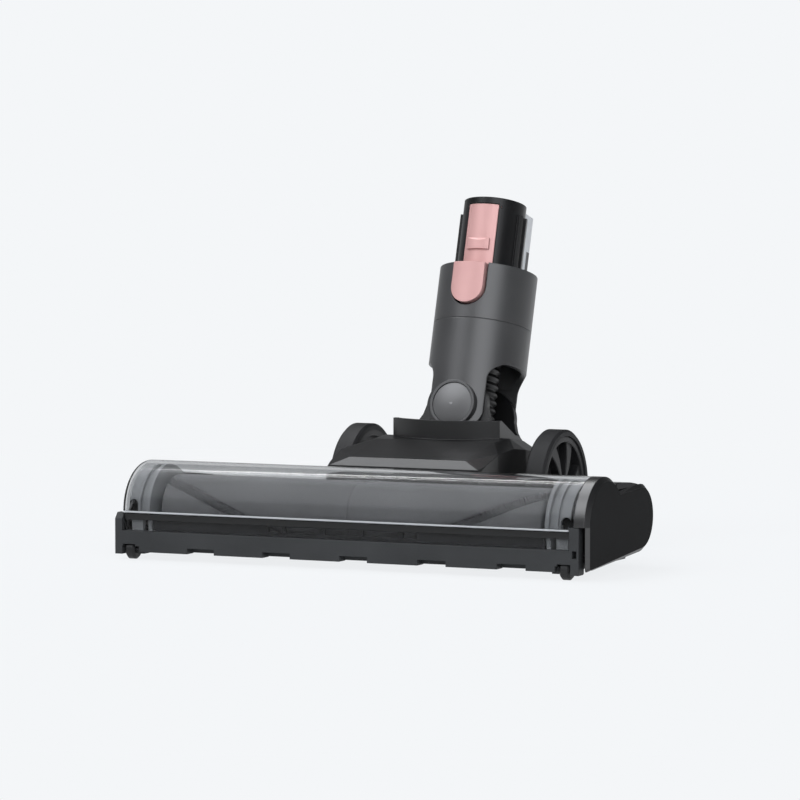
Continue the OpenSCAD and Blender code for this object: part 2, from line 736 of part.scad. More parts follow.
// Air duct from the chamber to the swivel drum
module duct_slab(y, hw, z0, z1) {
    box([-hw, y, z0], [hw, y + 0.5, z1]);
}

module air_duct() color([0.16, 0.16, 0.165]) head() difference() {
    hull() {
        duct_slab(brush_y + cover_r + 1.4, 20, sole_z + sole_t + 0.2, brush_z + 1);
        duct_slab(lobe_back, 20, sole_z + sole_t + 0.2, 31);
        duct_slab(tilt_y - 12, 20, 16, tilt_z - 4);
    }
    hull() {
        duct_slab(brush_y + cover_r, 18, sole_z + sole_t + 2, brush_z - 1);
        duct_slab(lobe_back, 18, sole_z + sole_t + 3, 29);
        duct_slab(tilt_y - 12, 18, 18, tilt_z - 6);
    }
    box([-21, tilt_y - 12, 0], [21, tilt_y, 60]);
    bar_x(drum_r + 0.4, -30, 30, tilt_y, tilt_z);
}

// Motor, its cradle and the belt drive

module motor() color([0.6, 0.6, 0.62]) head() difference() {
    union() {
        bar_x(motor_r, motor_x, motor_x + motor_len, motor_y, motor_z);
        bar_x(5, motor_x + motor_len - over, motor_x + motor_len + 3, motor_y, motor_z);
        bar_x(5, motor_x - 3, motor_x + over, motor_y, motor_z);
    }
    bar_x(shaft_r + run_gap, motor_x + motor_len - 20, motor_x + motor_len + 4, motor_y, motor_z);
}

module motor_cradle() color([0.16, 0.16, 0.165]) head() difference() {
    union() {
        box([motor_x + 4, motor_y - motor_r - 2, sole_z + sole_t],
            [motor_x + 10, motor_y + motor_r + 2, motor_z]);
        box([motor_x + motor_len - 10, motor_y - motor_r - 2, sole_z + sole_t],
            [motor_x + motor_len - 4, motor_y + motor_r + 2, motor_z]);
        box([motor_x + 4, motor_y - motor_r - 2, sole_z + sole_t],
            [motor_x + motor_len - 4, motor_y + motor_r + 2, sole_z + sole_t + 1.6]);
    }
    bar_x(motor_r + run_gap, motor_x, motor_x + motor_len, motor_y, motor_z);
}

module motor_shaft() color([0.75, 0.75, 0.77]) head()
    bar_x(shaft_r, motor_x + motor_len - 19, pulley_x + pulley_w, motor_y, motor_z);

// Toothed pulley between two flanges
module pulley(r, teeth, bore) {
    difference() {
        union() {
            cylinder(r = r, h = pulley_w);
            cylinder(r = r + 0.8, h = 0.9);
        }
        for (i = [0:teeth - 1]) rotate(i * 360 / teeth)
            translate([r, 0, 0.9]) rotate(45) translate([0, 0, pulley_w / 2])
                cube([tooth_h, tooth_h, pulley_w], center = true);
        translate([0, 0, -over]) cylinder(r = bore, h = pulley_w + 2 * over);
    }
}

module motor_pulley() color([0.7, 0.68, 0.6]) head()
    translate([pulley_x, motor_y, motor_z]) rotate([0, 90, 0])
        pulley(motor_pulley_r, motor_teeth, shaft_r);

module brush_pulley() color([0.15, 0.15, 0.15]) head()
    translate([pulley_x, brush_y, brush_z]) rotate([0, 90, 0])
        pulley(brush_pulley_r, brush_teeth, stub_r);

module drive_belt() color([0.08, 0.08, 0.08]) head()
    along_x(pulley_x + 1.2, pulley_x + 1.2 + belt_w) difference() {
        belt_outline(brush_pulley_r + gap + belt_t, motor_pulley_r + gap + belt_t);
        belt_outline(brush_pulley_r + gap, motor_pulley_r + gap);
    }

// Roller

module drive_hub() color([0.14, 0.14, 0.145]) head() {
    bar_x(core_r - core_wall, core_hx - 8, core_hx, brush_y, brush_z);
    bar_x(core_r, core_hx, core_hx + 1.2, brush_y, brush_z);
    bar_x(stub_r, core_hx + 1.2, pulley_x + pulley_w + 1, brush_y, brush_z);
}

module end_plug_left() color([0.14, 0.14, 0.145]) head() mirror([1, 0, 0]) {
    bar_x(core_r - core_wall, core_hx - 8, core_hx, brush_y, brush_z);
    bar_x(core_r, core_hx, core_hx + 1.2, brush_y, brush_z);
    bar_x(left_stub_r, core_hx + 1.2, plate_x + bearing_w + 1, brush_y, brush_z);
}

module brush_core() color([0.1, 0.1, 0.105]) head() difference() {
    bar_x(core_r, -core_hx, core_hx, brush_y, brush_z);
    bar_x(core_r - core_wall, -core_hx - over, core_hx + over, brush_y, brush_z);
}

// Points of a ring sector, outer arc first
// The inner arc is pushed out so that its chords clear the radius r0
function sector(r0, r1, a0, a1, n) = concat(
    [for (i = [0:n]) r1 * [cos(a0 + (a1 - a0) * i / n), sin(a0 + (a1 - a0) * i / n)]],
    [for (i = [n:-1:0]) r0 / cos((a1 - a0) / n / 2)
        * [cos(a0 + (a1 - a0) * i / n), sin(a0 + (a1 - a0) * i / n)]]);

row_slices = 15;

// Rows that wind one way on the right half and the other way on the left half
module rows(r1, a0, a1, n) {
    translate([0, brush_y, brush_z]) both_sides() rotate([0, 90, 0])
        for (k = [0:pile_n - 1]) rotate(k * 360 / pile_n)
            linear_extrude(core_hx - 1, twist = row_twist, slices = row_slices, $fn = 0)
                polygon(sector((core_r + 0.02) / cos(row_twist / row_slices / 2), r1, a0, a1, n));
}

module brush_pile() color([0.42, 0.425, 0.43]) head()
    rows(pile_r, bristle_angle / 2 + pile_gap, 360 / pile_n - bristle_angle / 2 - pile_gap, 12);

module brush_bristles() color([0.1, 0.1, 0.1]) head()
    rows(bristle_r, -bristle_angle / 2, bristle_angle / 2, 2);

module bearing(r_in, r_out) {
    difference() {
        cylinder(r = r_out, h = bearing_w);
        translate([0, 0, -over]) cylinder(r = r_in, h = bearing_w + 2 * over);
        for (z = [-0.6, bearing_w - 0.6]) translate([0, 0, z]) difference() {
            cylinder(r = r_out - 0.8, h = 1.2);
            cylinder(r = r_in + 0.8, h = 1.2);
        }
    }
}

module brush_bearing_right() color([0.7, 0.7, 0.72]) head()
    translate([plate_x - plate_t / 2, brush_y, brush_z]) rotate([0, 90, 0])
        bearing(stub_r + run_gap, right_bearing_r);

module brush_bearing_left() color([0.7, 0.7, 0.72]) head()
    translate([-plate_x + plate_t / 2, brush_y, brush_z]) rotate([0, -90, 0])
        bearing(left_stub_r + run_gap, left_bearing_r);

// Quarter-turn lock in the left cap that frees the roller
module brush_lock() color([0.14, 0.14, 0.145]) head() mirror([1, 0, 0]) difference() {
    union() {
        bar_x(lock_r, left_face_x + gap, lock_x, brush_y, brush_z);
        bar_x(lock_r - 2, cover_left - 6, left_face_x + gap + 0.1, brush_y, brush_z);
        bar_x(lock_r - 4, plate_x + bearing_w + 1.4, cover_left - 5, brush_y, brush_z);
        // bayonet lugs behind the cap plate
        for (a = [0, 180]) translate([cover_left - 5, brush_y, brush_z]) rotate([a, 0, 0])
            box([0, -2, 0], [2, 2, lock_r - 0.4]);
    }
    // finger slot
    translate([left_face_x + gap + 0.6, brush_y, brush_z]) box([0, -lock_r, -1.2], [4, lock_r, 1.2]);
}

// Rear wheels: spoked hub, soft tyre and axle

module spoke_arc(turn) {
    intersection() {
        rotate(turn) difference() {
            translate([0, 30]) circle(30 + spoke_t / 2);
            translate([0, 30]) circle(30 - spoke_t / 2);
        }
        rotate(turn) translate([axle_r + 2, -8]) square([wheel_r, 34]);
        circle(wheel_r - tyre_t - rim_t + 0.5);
    }
}

module wheel_hub() {
    r_rim = wheel_r - tyre_t;
    difference() {
        union() {
            difference() {
                cylinder(r = r_rim, h = wheel_w - 0.8, $fn = 128);
                translate([0, 0, 3.5]) cylinder(r = r_rim - rim_t, h = wheel_w, $fn = 128);
                translate([0, 0, -over]) cylinder(r = r_rim - rim_t, h = 1.8 + over, $fn = 128);
            }
            cylinder(r = axle_r + 3.4, h = wheel_w - 1.6);
            translate([0, 0, 3]) linear_extrude(wheel_w - 5)
                for (k = [0:spoke_n - 1]) rotate(k * 360 / spoke_n) {
                    spoke_arc(0);
                    spoke_arc(18);
                }
        }
        translate([0, 0, -over]) cylinder(r = axle_r + run_gap, h = wheel_w + 2 * over);
    }
}

module tyre_ring() {
    rotate_extrude($fn = 128) difference() {
        translate([wheel_r - tyre_t, 0]) square([tyre_t, wheel_w]);
        for (z = [0, wheel_w]) translate([wheel_r, z]) rotate(45)
            square(tyre_edge * sqrt(2), center = true);
    }
}

module axle() {
    cylinder(r = axle_r, h = wheel_in_x + wheel_w - 1 - well_hw - ear_t - 1);
    translate([0, 0, wheel_in_x + wheel_w - 1.4 - well_hw - ear_t - 1]) cylinder(r = axle_r + 1.4, h = 1);
}

// From a wheel's inside face outwards
module at_wheel(x) {
    head() translate([x, wheel_y, wheel_r]) rotate([0, x > 0 ? 90 : -90, 0]) children();
}

module rear_wheel_right() color([0.16, 0.16, 0.165]) at_wheel(wheel_in_x) wheel_hub();
module rear_wheel_left() color([0.16, 0.16, 0.165]) at_wheel(-wheel_in_x) wheel_hub();
module tyre_right() color([0.27, 0.27, 0.275]) at_wheel(wheel_in_x) tyre_ring();
module tyre_left() color([0.27, 0.27, 0.275]) at_wheel(-wheel_in_x) tyre_ring();
module wheel_axle_right() color([0.75, 0.75, 0.77]) at_wheel(well_hw + ear_t + 1) axle();
module wheel_axle_left() color([0.75, 0.75, 0.77]) at_wheel(-well_hw - ear_t - 1) axle();

// Front rollers and their pins

module front_roller(x) {
    head() translate([bar_mid + x - roller_w / 2, roller_y, roller_r]) rotate([0, 90, 0]) difference() {
        union() {
            translate([0, 0, 1]) cylinder(r = roller_r, h = roller_w - 2);
            cylinder(r1 = roller_r - 1, r2 = roller_r, h = 1);
            translate([0, 0, roller_w - 1]) cylinder(r1 = roller_r, r2 = roller_r - 1, h = 1);
        }
        translate([0, 0, -over]) cylinder(r = roller_pin_r + run_gap, h = roller_w + 2 * over);
    }
}

module roller_pin(x) {
    head() bar_x(roller_pin_r, bar_mid + x - slot_w / 2 - 1.8, bar_mid + x + slot_w / 2 + 1.8,
        roller_y, roller_r);
}

module front_roller_right() color([0.1, 0.1, 0.1]) front_roller(roller_x);
module front_roller_left() color([0.1, 0.1, 0.1]) front_roller(-roller_x);
module roller_pin_right() color([0.75, 0.75, 0.77]) roller_pin(roller_x);
module roller_pin_left() color([0.75, 0.75, 0.77]) roller_pin(-roller_x);

// Swivel yoke: drum on the tilt axis with two cheeks for the roll axis

module cheek_outline() {
    circle(cheek_r);
    polygon([[-cheek_r, 0], [cheek_r, 0], [cheek_r + 1.5, -5], [drum_hx - 3, -14],
        [drum_hx - 3, -yoke_len + 8], [-drum_hx + 3, -yoke_len + 8],
        [-drum_hx + 3, -14], [-cheek_r - 1.5, -5]]);
}

module tilt_yoke() color([0.18, 0.18, 0.185]) neck() difference() {
    union() {
        // drum
        bar_x(drum_r, -drum_hx, drum_hx, 0, -yoke_len);
        // cheeks in front of and behind the hose
        for (s = [-1, 1]) translate([0, s > 0 ? cheek_y : -cheek_y + cheek_t, 0]) rotate([90, 0, 0])
            linear_extrude(cheek_t) cheek_outline();
        // seat of the lower hose cuff
        translate([0, 0, -yoke_len + drum_r - 4]) cylinder(r = hose_r + 4, h = yoke_len - drum_r + 4 + hose_z0 - gap);
        box([-hose_r, -cheek_y, -yoke_len + 6], [hose_r, cheek_y, -yoke_len + drum_r - 1]);
    }
    // airway from the drum up to the hose
    bar_x(drum_r - 2.5, -drum_hx + 2.5, drum_hx - 2.5, 0, -yoke_len);
    translate([0, 0, -yoke_len]) cylinder(r = hose_r - hose_fold - hose_wall, h = yoke_len + hose_z0 + 20);
    // open front and bottom, so that the drum faces the duct at every tilt
    translate([0, 0, -yoke_len]) along_x(-drum_hx + 2.5, drum_hx - 2.5)
        polygon([[0, 0], [-3 * drum_r, -3 * drum_r * tan(8)], [-3 * drum_r, -3 * drum_r],
            [3 * drum_r, -3 * drum_r], [3 * drum_r, -3 * drum_r * tan(35)]]);
    // pins
    bar_x(tilt_pin_r + run_gap, -drum_hx - over, drum_hx + over, 0, -yoke_len);
    rotate([90, 0, 0]) cylinder(r = roll_pin_r + run_gap, h = 4 * cheek_y, center = true);
    translate([0, 0, hose_z0 + hose_pitch]) cube([2 * cheek_r + 20, 2 * (cheek_y - cheek_t), 2 * hose_pitch], center = true);
}

module tilt_pin(x0, x1) {
    head() bar_x(tilt_pin_r, x0, x1, tilt_y, tilt_z);
}

module tilt_pin_right() color([0.75, 0.75, 0.77]) tilt_pin(drum_hx - 2.5, well_hw + ear_t);
module tilt_pin_left() color([0.75, 0.75, 0.77]) tilt_pin(-well_hw - ear_t, -drum_hx + 2.5);

// Roll pins, pressed into the prongs of the neck, with their domed caps

module roll_pin() {
    translate([0, -neck_r, 0]) rotate([-90, 0, 0]) cylinder(r = roll_pin_r, h = neck_r - cheek_y + cheek_t);
}

module pivot_cap() {
    dome = 1.4;
    r = (cap_r * cap_r + dome * dome) / (2 * dome);
    translate([0, -neck_r, 0]) rotate([90, 0, 0]) intersection() {
        cylinder(r = cap_r, h = cap_ring_h + 2 * dome);
        translate([0, 0, cap_ring_h + dome - 0.4 - r]) sphere(r = r, $fn = 96);
    }
}

module roll_pin_front() color([0.75, 0.75, 0.77]) neck() roll_pin();
module roll_pin_rear() color([0.75, 0.75, 0.77]) neck() rotate([0, 0, 180]) roll_pin();
module pivot_cap_front() color([0.3, 0.3, 0.305]) neck() pivot_cap();
module pivot_cap_rear() color([0.3, 0.3, 0.305]) neck() rotate([0, 0, 180]) pivot_cap();

// Corrugated hose between yoke and spigot

hose_n = floor((hose_z1 - hose_z0) / hose_pitch) - 2;
hose_end = (hose_z1 - hose_z0 - hose_n * hose_pitch) / 2;

module hose() color([0.07, 0.07, 0.07]) neck()
    rotate_extrude() polygon(concat(
        [[hose_r - hose_fold - hose_wall, hose_z0], [hose_r - hose_fold, hose_z0]],
        [for (i = [0:hose_n - 1], p = [[0, 0], [1, 0.35], [1, 0.65]])
            [hose_r - hose_fold + p[0] * hose_fold, hose_z0 + hose_end + (i + p[1]) * hose_pitch]],
        [[hose_r - hose_fold, hose_z0 + hose_end + hose_n * hose_pitch],
            [hose_r - hose_fold, hose_z1], [hose_r - hose_fold - hose_wall, hose_z1]]));

module hose_cuff_lower() color([0.14, 0.14, 0.145]) neck() translate([0, 0, hose_z0 - gap]) difference() {
    cylinder(r = hose_r + 2, h = 3);
    translate([0, 0, -over]) cylinder(r = hose_r - hose_fold + run_gap, h = 5);
}

module hose_cuff_upper() color([0.14, 0.14, 0.145]) neck() difference() {
    union() {
        translate([0, 0, hose_z1 - 4]) cylinder(r = hose_r + 1.5, h = spigot_foot - hose_z1 + 1);
        translate([0, 0, spigot_foot - 3]) cylinder(r = neck_ir - 0.1, h = 3 - gap / 3);
    }
    translate([0, 0, hose_z1 - 4 - over]) cylinder(r = hose_r - hose_fold + run_gap, h = 4 + over);
    translate([0, 0, hose_z1 - over]) cylinder(r = hose_r - hose_fold - hose_wall, h = 20);
}

// Neck: lower tube with two prongs and raised pivot rings, and the collar above the seam

module window_outline() {
    r = window_corner;
    translate([-window_hd, -60]) square([2 * window_hd, 60 + window_top - r]);
    translate([-window_hd + r, -60]) square([2 * window_hd - 2 * r, 60 + window_top]);
    for (s = [-1, 1]) translate([s * (window_hd - r), window_top - r]) circle(r);
}

module neck_tube() color([0.33, 0.33, 0.335]) neck() difference() {
    union() {
        difference() {
            translate([0, 0, -40]) cylinder(r = neck_r, h = 40 + seam_z, $fn = 96);
            translate([0, 0, window_top - 6]) cylinder(r = neck_ir, h = seam_z, $fn = 96);
            translate([0, 0, -41]) cylinder(r = window_hd - 0.1, h = 100);
            along_x(-2 * neck_r, 2 * neck_r) window_outline();
            // rounded ends of the prongs
            difference() {
                box([-2 * neck_r, -2 * neck_r, -60], [2 * neck_r, 2 * neck_r, 0]);
                rotate([90, 0, 0]) cylinder(r = neck_r * 0.603, h = 4 * neck_r, center = true, $fn = 96);
            }
        }
        for (a = [0, 180]) rotate(a) translate([0, -neck_r + 3, 0]) rotate([90, 0, 0])
            cylinder(r = cap_ring_r, h = 3 + cap_ring_h);
    }
    for (a = [0, 180]) rotate(a) {
        translate([0, -neck_r, 0]) rotate([90, 0, 0]) cylinder(r = cap_r + 0.2, h = 10);
        translate([0, 0, 0]) rotate([90, 0, 0]) cylinder(r = roll_pin_r, h = 2 * neck_r);
    }
}

// Side view of the notch for the release button
module notch_outline(hw, z) {
    translate([0, z]) circle(hw);
    translate([-hw, z]) square([2 * hw, 60]);
}

module neck_collar() color([0.33, 0.33, 0.335]) neck() difference() {
    union() {
        translate([0, 0, seam_z + 0.15]) cylinder(r = neck_r, h = collar_z - seam_z - 0.15, $fn = 96);
        // guard behind the terminal block
        box([-terminal_hw, terminal_back - 3.6, collar_z - over], [terminal_hw, terminal_back, terminal_step]);
    }
    translate([0, 0, seam_z - over]) cylinder(r = neck_ir, h = collar_z - seam_z - 1.5, $fn = 96);
    translate([0, -spigot_off, 0]) cylinder(r = spigot_r + 0.1, h = 2 * collar_z);
    // guide ribs pass through
    spigot_ribs(0.1);
    // room for the foot of the terminal block
    box([-terminal_hw - 0.1, 0, seam_z], [terminal_hw + 0.1, terminal_back - 3.6 + 0.1, 2 * collar_z]);
    translate([0, -neck_r + 0, 0]) rotate([90, 0, 0])
        linear_extrude(2 * neck_r, center = true) notch_outline(notch_hw, notch_z);
}

// Two pairs of guide ribs along the spigot
module spigot_ribs(grow) {
    translate([0, -spigot_off, 0]) intersection() {
        difference() {
            translate([0, 0, collar_z - 8]) cylinder(r = rib_r + grow, h = rib_top + grow - collar_z + 8);
            translate([0, 0, collar_z - 9]) cylinder(r = spigot_r - 0.5, h = 60);
        }
        union() for (a = [-12, 12]) rotate(a)
            box([-30, -1.6 - grow, 0], [30, 1.6 + grow, 200]);
    }
}

module spigot() color([0.09, 0.09, 0.095]) neck() difference() {
    union() {
        translate([0, -spigot_off, spigot_foot]) cylinder(r = spigot_r, h = spigot_z - spigot_foot);
        translate([0, 0, seam_z - flange_t]) cylinder(r = spigot_flange_r, h = flange_t);
        spigot_ribs(0);
    }
    translate([0, -spigot_off, spigot_foot - over]) cylinder(r = airway_r, h = spigot_z);
    // pocket for the latch strip
    intersection() {
        translate([0, -spigot_off, 0]) difference() {
            translate([0, 0, seam_z + 8]) cylinder(r = 2 * spigot_r, h = strip_top + gap - seam_z - 8);
            cylinder(r = pocket_r, h = spigot_z);
        }
        box([-pocket_hw, -3 * spigot_r, 0], [pocket_hw, 0, spigot_z]);
    }
    // holes for the hinge stubs of the strip
    translate([0, -spigot_off, 0]) both_sides()
        bar_x(latch_stub_r + run_gap, strip_hw, strip_hw + 1.5, stub_y, stub_z);
    // flat behind the terminal block
    box([-terminal_hw - 0.1, spigot_r - spigot_off - 1.2, collar_z - 4], [terminal_hw + 0.1, 40, terminal_top + 0.1]);
}

// Terminal block on the back of the spigot, with its contact blades
module terminal_block() color([0.86, 0.87, 0.88]) neck() difference() {
    y0 = spigot_r - spigot_off - 1.2;
    union() {
        box([-terminal_hw, y0, collar_z - 4], [terminal_hw, terminal_back - 3.6, terminal_step]);
        box([-terminal_hw, y0, terminal_step], [terminal_hw, terminal_back, terminal_top]);
    }
    for (x = [-6.5, 0, 6.5]) box([x - 2, y0 + 2, terminal_step - 8], [x + 2, y0 + 4.8, terminal_top + over]);
}

module contact_blades() color([0.8, 0.66, 0.3]) neck() {
    y0 = spigot_r - spigot_off - 1.2;
    for (x = [-6.5, 6.5]) box([x - 1.6, y0 + 3, terminal_step - 8], [x + 1.6, y0 + 3.8, terminal_top - 2]);
}

// Release latch: strip with its catch, button and spring

module latch_strip() color([0.8, 0.64, 0.63]) neck() translate([0, -spigot_off, 0]) {
    intersection() {
        difference() {
            translate([0, 0, collar_z - 6]) cylinder(r = strip_r, h = strip_top - collar_z + 6);
            cylinder(r = strip_r - strip_t, h = 2 * spigot_z);
        }
        box([-strip_hw, -2 * spigot_r, 0], [strip_hw, 0, spigot_z]);
    }
    // catch with a ramp towards the tip
    intersection() {
        difference() {
            cylinder(r = strip_r + catch_h, h = spigot_z);
            cylinder(r = strip_r - strip_t / 2, h = spigot_z);
        }
        along_x(-6, 6) polygon([[-strip_r - catch_h - 1, catch_z - 3], [-strip_r + 5, catch_z - 3],
            [-strip_r + 5, catch_z + 3], [-strip_r - 0.2, catch_z + 3], [-strip_r - catch_h - 1, catch_z + 0.5]]);
    }
    // hinge stubs at the top corners
    both_sides() bar_x(latch_stub_r, strip_hw - 1.1, strip_hw + 1.2, stub_y, stub_z);
}

module release_button() color([0.8, 0.64, 0.63]) neck() difference() {
    intersection() {
        translate([0, 0, button_bottom]) cylinder(r = button_face, h = button_top - button_bottom, $fn = 96);
        rotate([90, 0, 0]) linear_extrude(2 * button_face) notch_outline(button_hw, button_bottom + button_hw);
        union() {
            box([-20, -2 * neck_r, 0], [20, -button_in, button_top]);
            box([-strip_hw, -2 * neck_r, collar_z - 5.5], [strip_hw, 0, button_top]);
        }
    }
    translate([0, -spigot_off, 0]) cylinder(r = strip_r + 0.01, h = 2 * collar_z);
}

// Helix of the latch spring, from its foot on the spigot to the button
spring_r = 2.6;
spring_wire = 0.35;
spring_turns = 4;
spring_z = button_bottom + 8;
spring_y0 = -(spigot_off + pocket_r + spring_wire + 0.15);
spring_y1 = -(button_in - spring_wire - 0.15);

module latch_spring() color([0.75, 0.75, 0.77]) neck() {
    n = 14 * spring_turns;
    m = 6;
    points = [for (i = [0:n], j = [0:m - 1])
        let (a = 360 * spring_turns * i / n, b = 360 * j / m, r = spring_r + spring_wire * cos(b))
        [r * cos(a), spring_y0 + (spring_y1 - spring_y0) * i / n + spring_wire * sin(b),
            spring_z + r * sin(a)]];
    faces = concat([[for (j = [0:m - 1]) j]], [[for (j = [m - 1:-1:0]) n * m + j]],
        [for (i = [0:n - 1], j = [0:m - 1])
            [i * m + j, (i + 1) * m + j, (i + 1) * m + (j + 1) % m, i * m + (j + 1) % m]]);
    polyhedron(points, faces, convexity = 6);
}

base_housing();
inlet_grille();
rear_seal_strip();
end_plate_left();
end_plate_right();
end_cap_left();
end_cap_right();
deck_cover();
rear_hood();
air_duct();
housing_screws();
motor();
motor_cradle();
motor_shaft();
motor_pulley();
drive_belt();
brush_pulley();
drive_hub();
brush_core();
brush_pile();
brush_bristles();
end_plug_left();
brush_bearing_left();
brush_bearing_right();
brush_lock();
rear_wheel_left();
rear_wheel_right();
tyre_left();
tyre_right();
wheel_axle_left();
wheel_axle_right();
front_roller_left();
front_roller_right();
roller_pin_left();
roller_pin_right();
tilt_yoke();
tilt_pin_left();
tilt_pin_right();
roll_pin_front();
roll_pin_rear();
pivot_cap_front();
pivot_cap_rear();
hose();
hose_cuff_lower();
hose_cuff_upper();
neck_tube();
neck_collar();
spigot();
terminal_block();
contact_blades();
latch_strip();
release_button();
latch_spring();
clear_cover();
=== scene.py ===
import math
import random

import bpy
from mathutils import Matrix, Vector


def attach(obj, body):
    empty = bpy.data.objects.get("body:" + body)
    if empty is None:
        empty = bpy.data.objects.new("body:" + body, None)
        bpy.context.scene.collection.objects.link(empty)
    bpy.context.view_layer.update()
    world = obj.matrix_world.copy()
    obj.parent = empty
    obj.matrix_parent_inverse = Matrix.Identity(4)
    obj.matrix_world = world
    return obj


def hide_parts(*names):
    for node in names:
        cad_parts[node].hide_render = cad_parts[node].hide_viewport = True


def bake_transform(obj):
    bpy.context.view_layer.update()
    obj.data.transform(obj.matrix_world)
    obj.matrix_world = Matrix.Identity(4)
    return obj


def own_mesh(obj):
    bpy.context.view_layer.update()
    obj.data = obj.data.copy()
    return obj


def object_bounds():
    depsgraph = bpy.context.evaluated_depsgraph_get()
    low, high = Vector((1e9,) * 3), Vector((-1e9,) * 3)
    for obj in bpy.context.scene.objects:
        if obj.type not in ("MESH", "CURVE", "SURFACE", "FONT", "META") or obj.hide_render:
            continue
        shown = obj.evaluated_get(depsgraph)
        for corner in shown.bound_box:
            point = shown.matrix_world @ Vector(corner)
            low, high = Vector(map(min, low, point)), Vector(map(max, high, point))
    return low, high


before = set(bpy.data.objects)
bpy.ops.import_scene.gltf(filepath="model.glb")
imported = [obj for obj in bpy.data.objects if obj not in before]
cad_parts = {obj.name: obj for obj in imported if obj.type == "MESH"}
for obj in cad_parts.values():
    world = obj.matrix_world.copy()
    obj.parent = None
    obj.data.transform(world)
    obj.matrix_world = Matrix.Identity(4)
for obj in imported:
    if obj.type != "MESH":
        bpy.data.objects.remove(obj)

cad_lo, cad_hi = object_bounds()

# Sizes that the CAD source has too, in millimetres and degrees
# There x runs from the middle of the front bar, y backwards from its face and z upwards from the floor

CAP_FACE_X = 130.0
TUBE_FRONT_Y = -0.4
# Place of the frame's own origin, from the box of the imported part
MID_X = CAP_FACE_X - 1000 * cad_hi[0]
MID_Y = TUBE_FRONT_Y - 1000 * cad_lo[1]

# Clear skirt: just behind its front wall
SKIRT_BACK = 4.2

# Roller: its axis, core, pile, bristles, and the turn of a row from the middle to the end
BRUSH_Y, BRUSH_Z = 24.0, 24.0
CORE_R, CORE_HX = 11.0, 104.0
PILE_R, BRISTLE_R = 18.2, 18.9
ROW_TWIST = 150.0

# Swivel and neck
TILT_Y, TILT_Z = 148.0, 38.0
YOKE_LEN = 29.7
NECK_LEAN = math.radians(16.5)

# Hose, along the neck
HOSE_R, HOSE_WALL = 12.0, 1.0
HOSE_PITCH, HOSE_FOLD = 4.2, 1.5
HOSE_Z0, HOSE_Z1 = -8.0, 34.0

# Suction mouth and sole
MOUTH_HW, MOUTH_BACK, SOLE_Z = 106.0, 45.0, 4.5

# Rear wheels
WHEEL_X, WHEEL_Y, WHEEL_R, WHEEL_W = 49.2, 139.5, 30.7, 11.0
TYRE_T, RIM_T = 3.4, 3.0
AXLE_R, RUN_GAP = 3.0, 0.05
# How far the rim and boss stay back from the wheel's outside face, and the boss's radius beyond the axle's
RIM_BACK, BOSS_BACK, BOSS_T = 0.8, 1.6, 3.4
SPOKE_N = 7

# Latch spring, in the neck
SPRING_Y0, SPRING_Y1, SPRING_Z = -16.1, -20.3, 61.7
SPRING_R, SPRING_WIRE, SPRING_TURNS = 2.6, 0.35, 4

# Sizes of forms that only this script makes, in millimetres and degrees

# Clearance between the core and what is bonded to it
BOND = 0.05
# The rows of each half of the roller start this far from the middle and end short of the core's end
ROW_START = 0.04
ROW_END = CORE_HX - 1

# Each half has two fields of pile, between these angles
FIELD_FROM, FIELD_TO = 8.0, 172.0
PILE_STEPS, PILE_COLUMNS, PILE_TIPS = 104, 44, 4000
# The skin lies under the tips, is uneven, and drops at its edges
PILE_DIP, PILE_UNEVEN, PILE_DROP = 0.45, 0.09, 0.5
# Fibre tips: clear of the ends, clear of the sides, and rooted this far under the pile's radius
TIP_MARGIN, TIP_MARGIN_ANGLE, TIP_ROOT = 0.4, 0.8, 0.75
# Their half width along the roller and round it, and how far they lean, shift and fall short
TIP_HALF, TIP_HALF_ROUND = 0.1, 0.11
TIP_LEAN, TIP_SHIFT, TIP_SHORT = 3.0, 0.3, 0.3
# How fast the drop ends, inwards from an edge, and the share of the length that counts as the end
EDGE_RISE, END_RISE, END_SHARE = 14, 3, 0.1

# Each bristle row has a woven foot and bunches of strands
FOOT_STEPS, FOOT_R = 80, 12.9
# Half angles of the foot's section, from the core outwards, and the drop of its shoulder
FOOT_ANGLES, FOOT_DROP = (6.6, 6.2, 3), 0.3
BUNCHES, BUNCH_STRANDS = 166, 6
# Strands: clear of the row's ends, the angle from one to the next, and how deep they start in the foot
STRAND_MARGIN, STRAND_STEP, STRAND_ROOT_R = 0.6, 2.6, 12.4
# Half width along the roller and half angle round it, at the root and at the tip
STRAND_ROOT, STRAND_TIP = (0.2, 0.9), (0.13, 0.45)
# Spread of the roots round their places, then of the tips round the roots, and how far the tips fall short
ROOT_SPREAD, TIP_SPREAD, TIP_SPREAD_U = 0.7, 1.4, 0.5
STRAND_SHORT = (0.5, 0.9)

# Seal strip: where its body's outline lies behind the mouth and over the sole's level, and its fibres
SEAL_OUTLINE = [(1, 0), (5, 0), (4.7, -0.9), (3, -1.2), (1.3, -0.9)]
SEAL_STEPS, SEAL_TIPS = 60, 5000
SEAL_ROOT_Z, SEAL_TIP_Z = SOLE_Z - 0.8, SOLE_Z - 2.45
# Its fibres: clear of the ends, where they stand behind the mouth, half width, shift and shortfall
SEAL_MARGIN, SEAL_FROM, SEAL_TO = 0.4, 1.5, 4.5
SEAL_HALF, SEAL_SHIFT, SEAL_SHORT = 0.12, 0.3, 0.4

# Round segments and steps of a fold, outside and inside
HOSE_SEGMENTS, FOLD_STEPS, LINING_STEPS = 72, 14, 4

# Wheels: the web's back and thickness and the spokes' front, measured from the wheel's inside face
WHEEL_SEGMENTS, SPOKE_STEPS = 112, 16
WEB_Z, WEB_T, SPOKE_Z = 2.5, 1.8, 9.0
# Spokes: radius of their curve, their width as an angle, and how far all of them are turned
SPOKE_BOW, SPOKE_ANGLE, SPOKE_TURN = 30.0, 18.0, 23.0
WHEEL_BEVEL = 0.4

# Steps of each turn of the latch coil, and segments round its wire
COIL_STEPS, WIRE_SEGMENTS = 26, 8

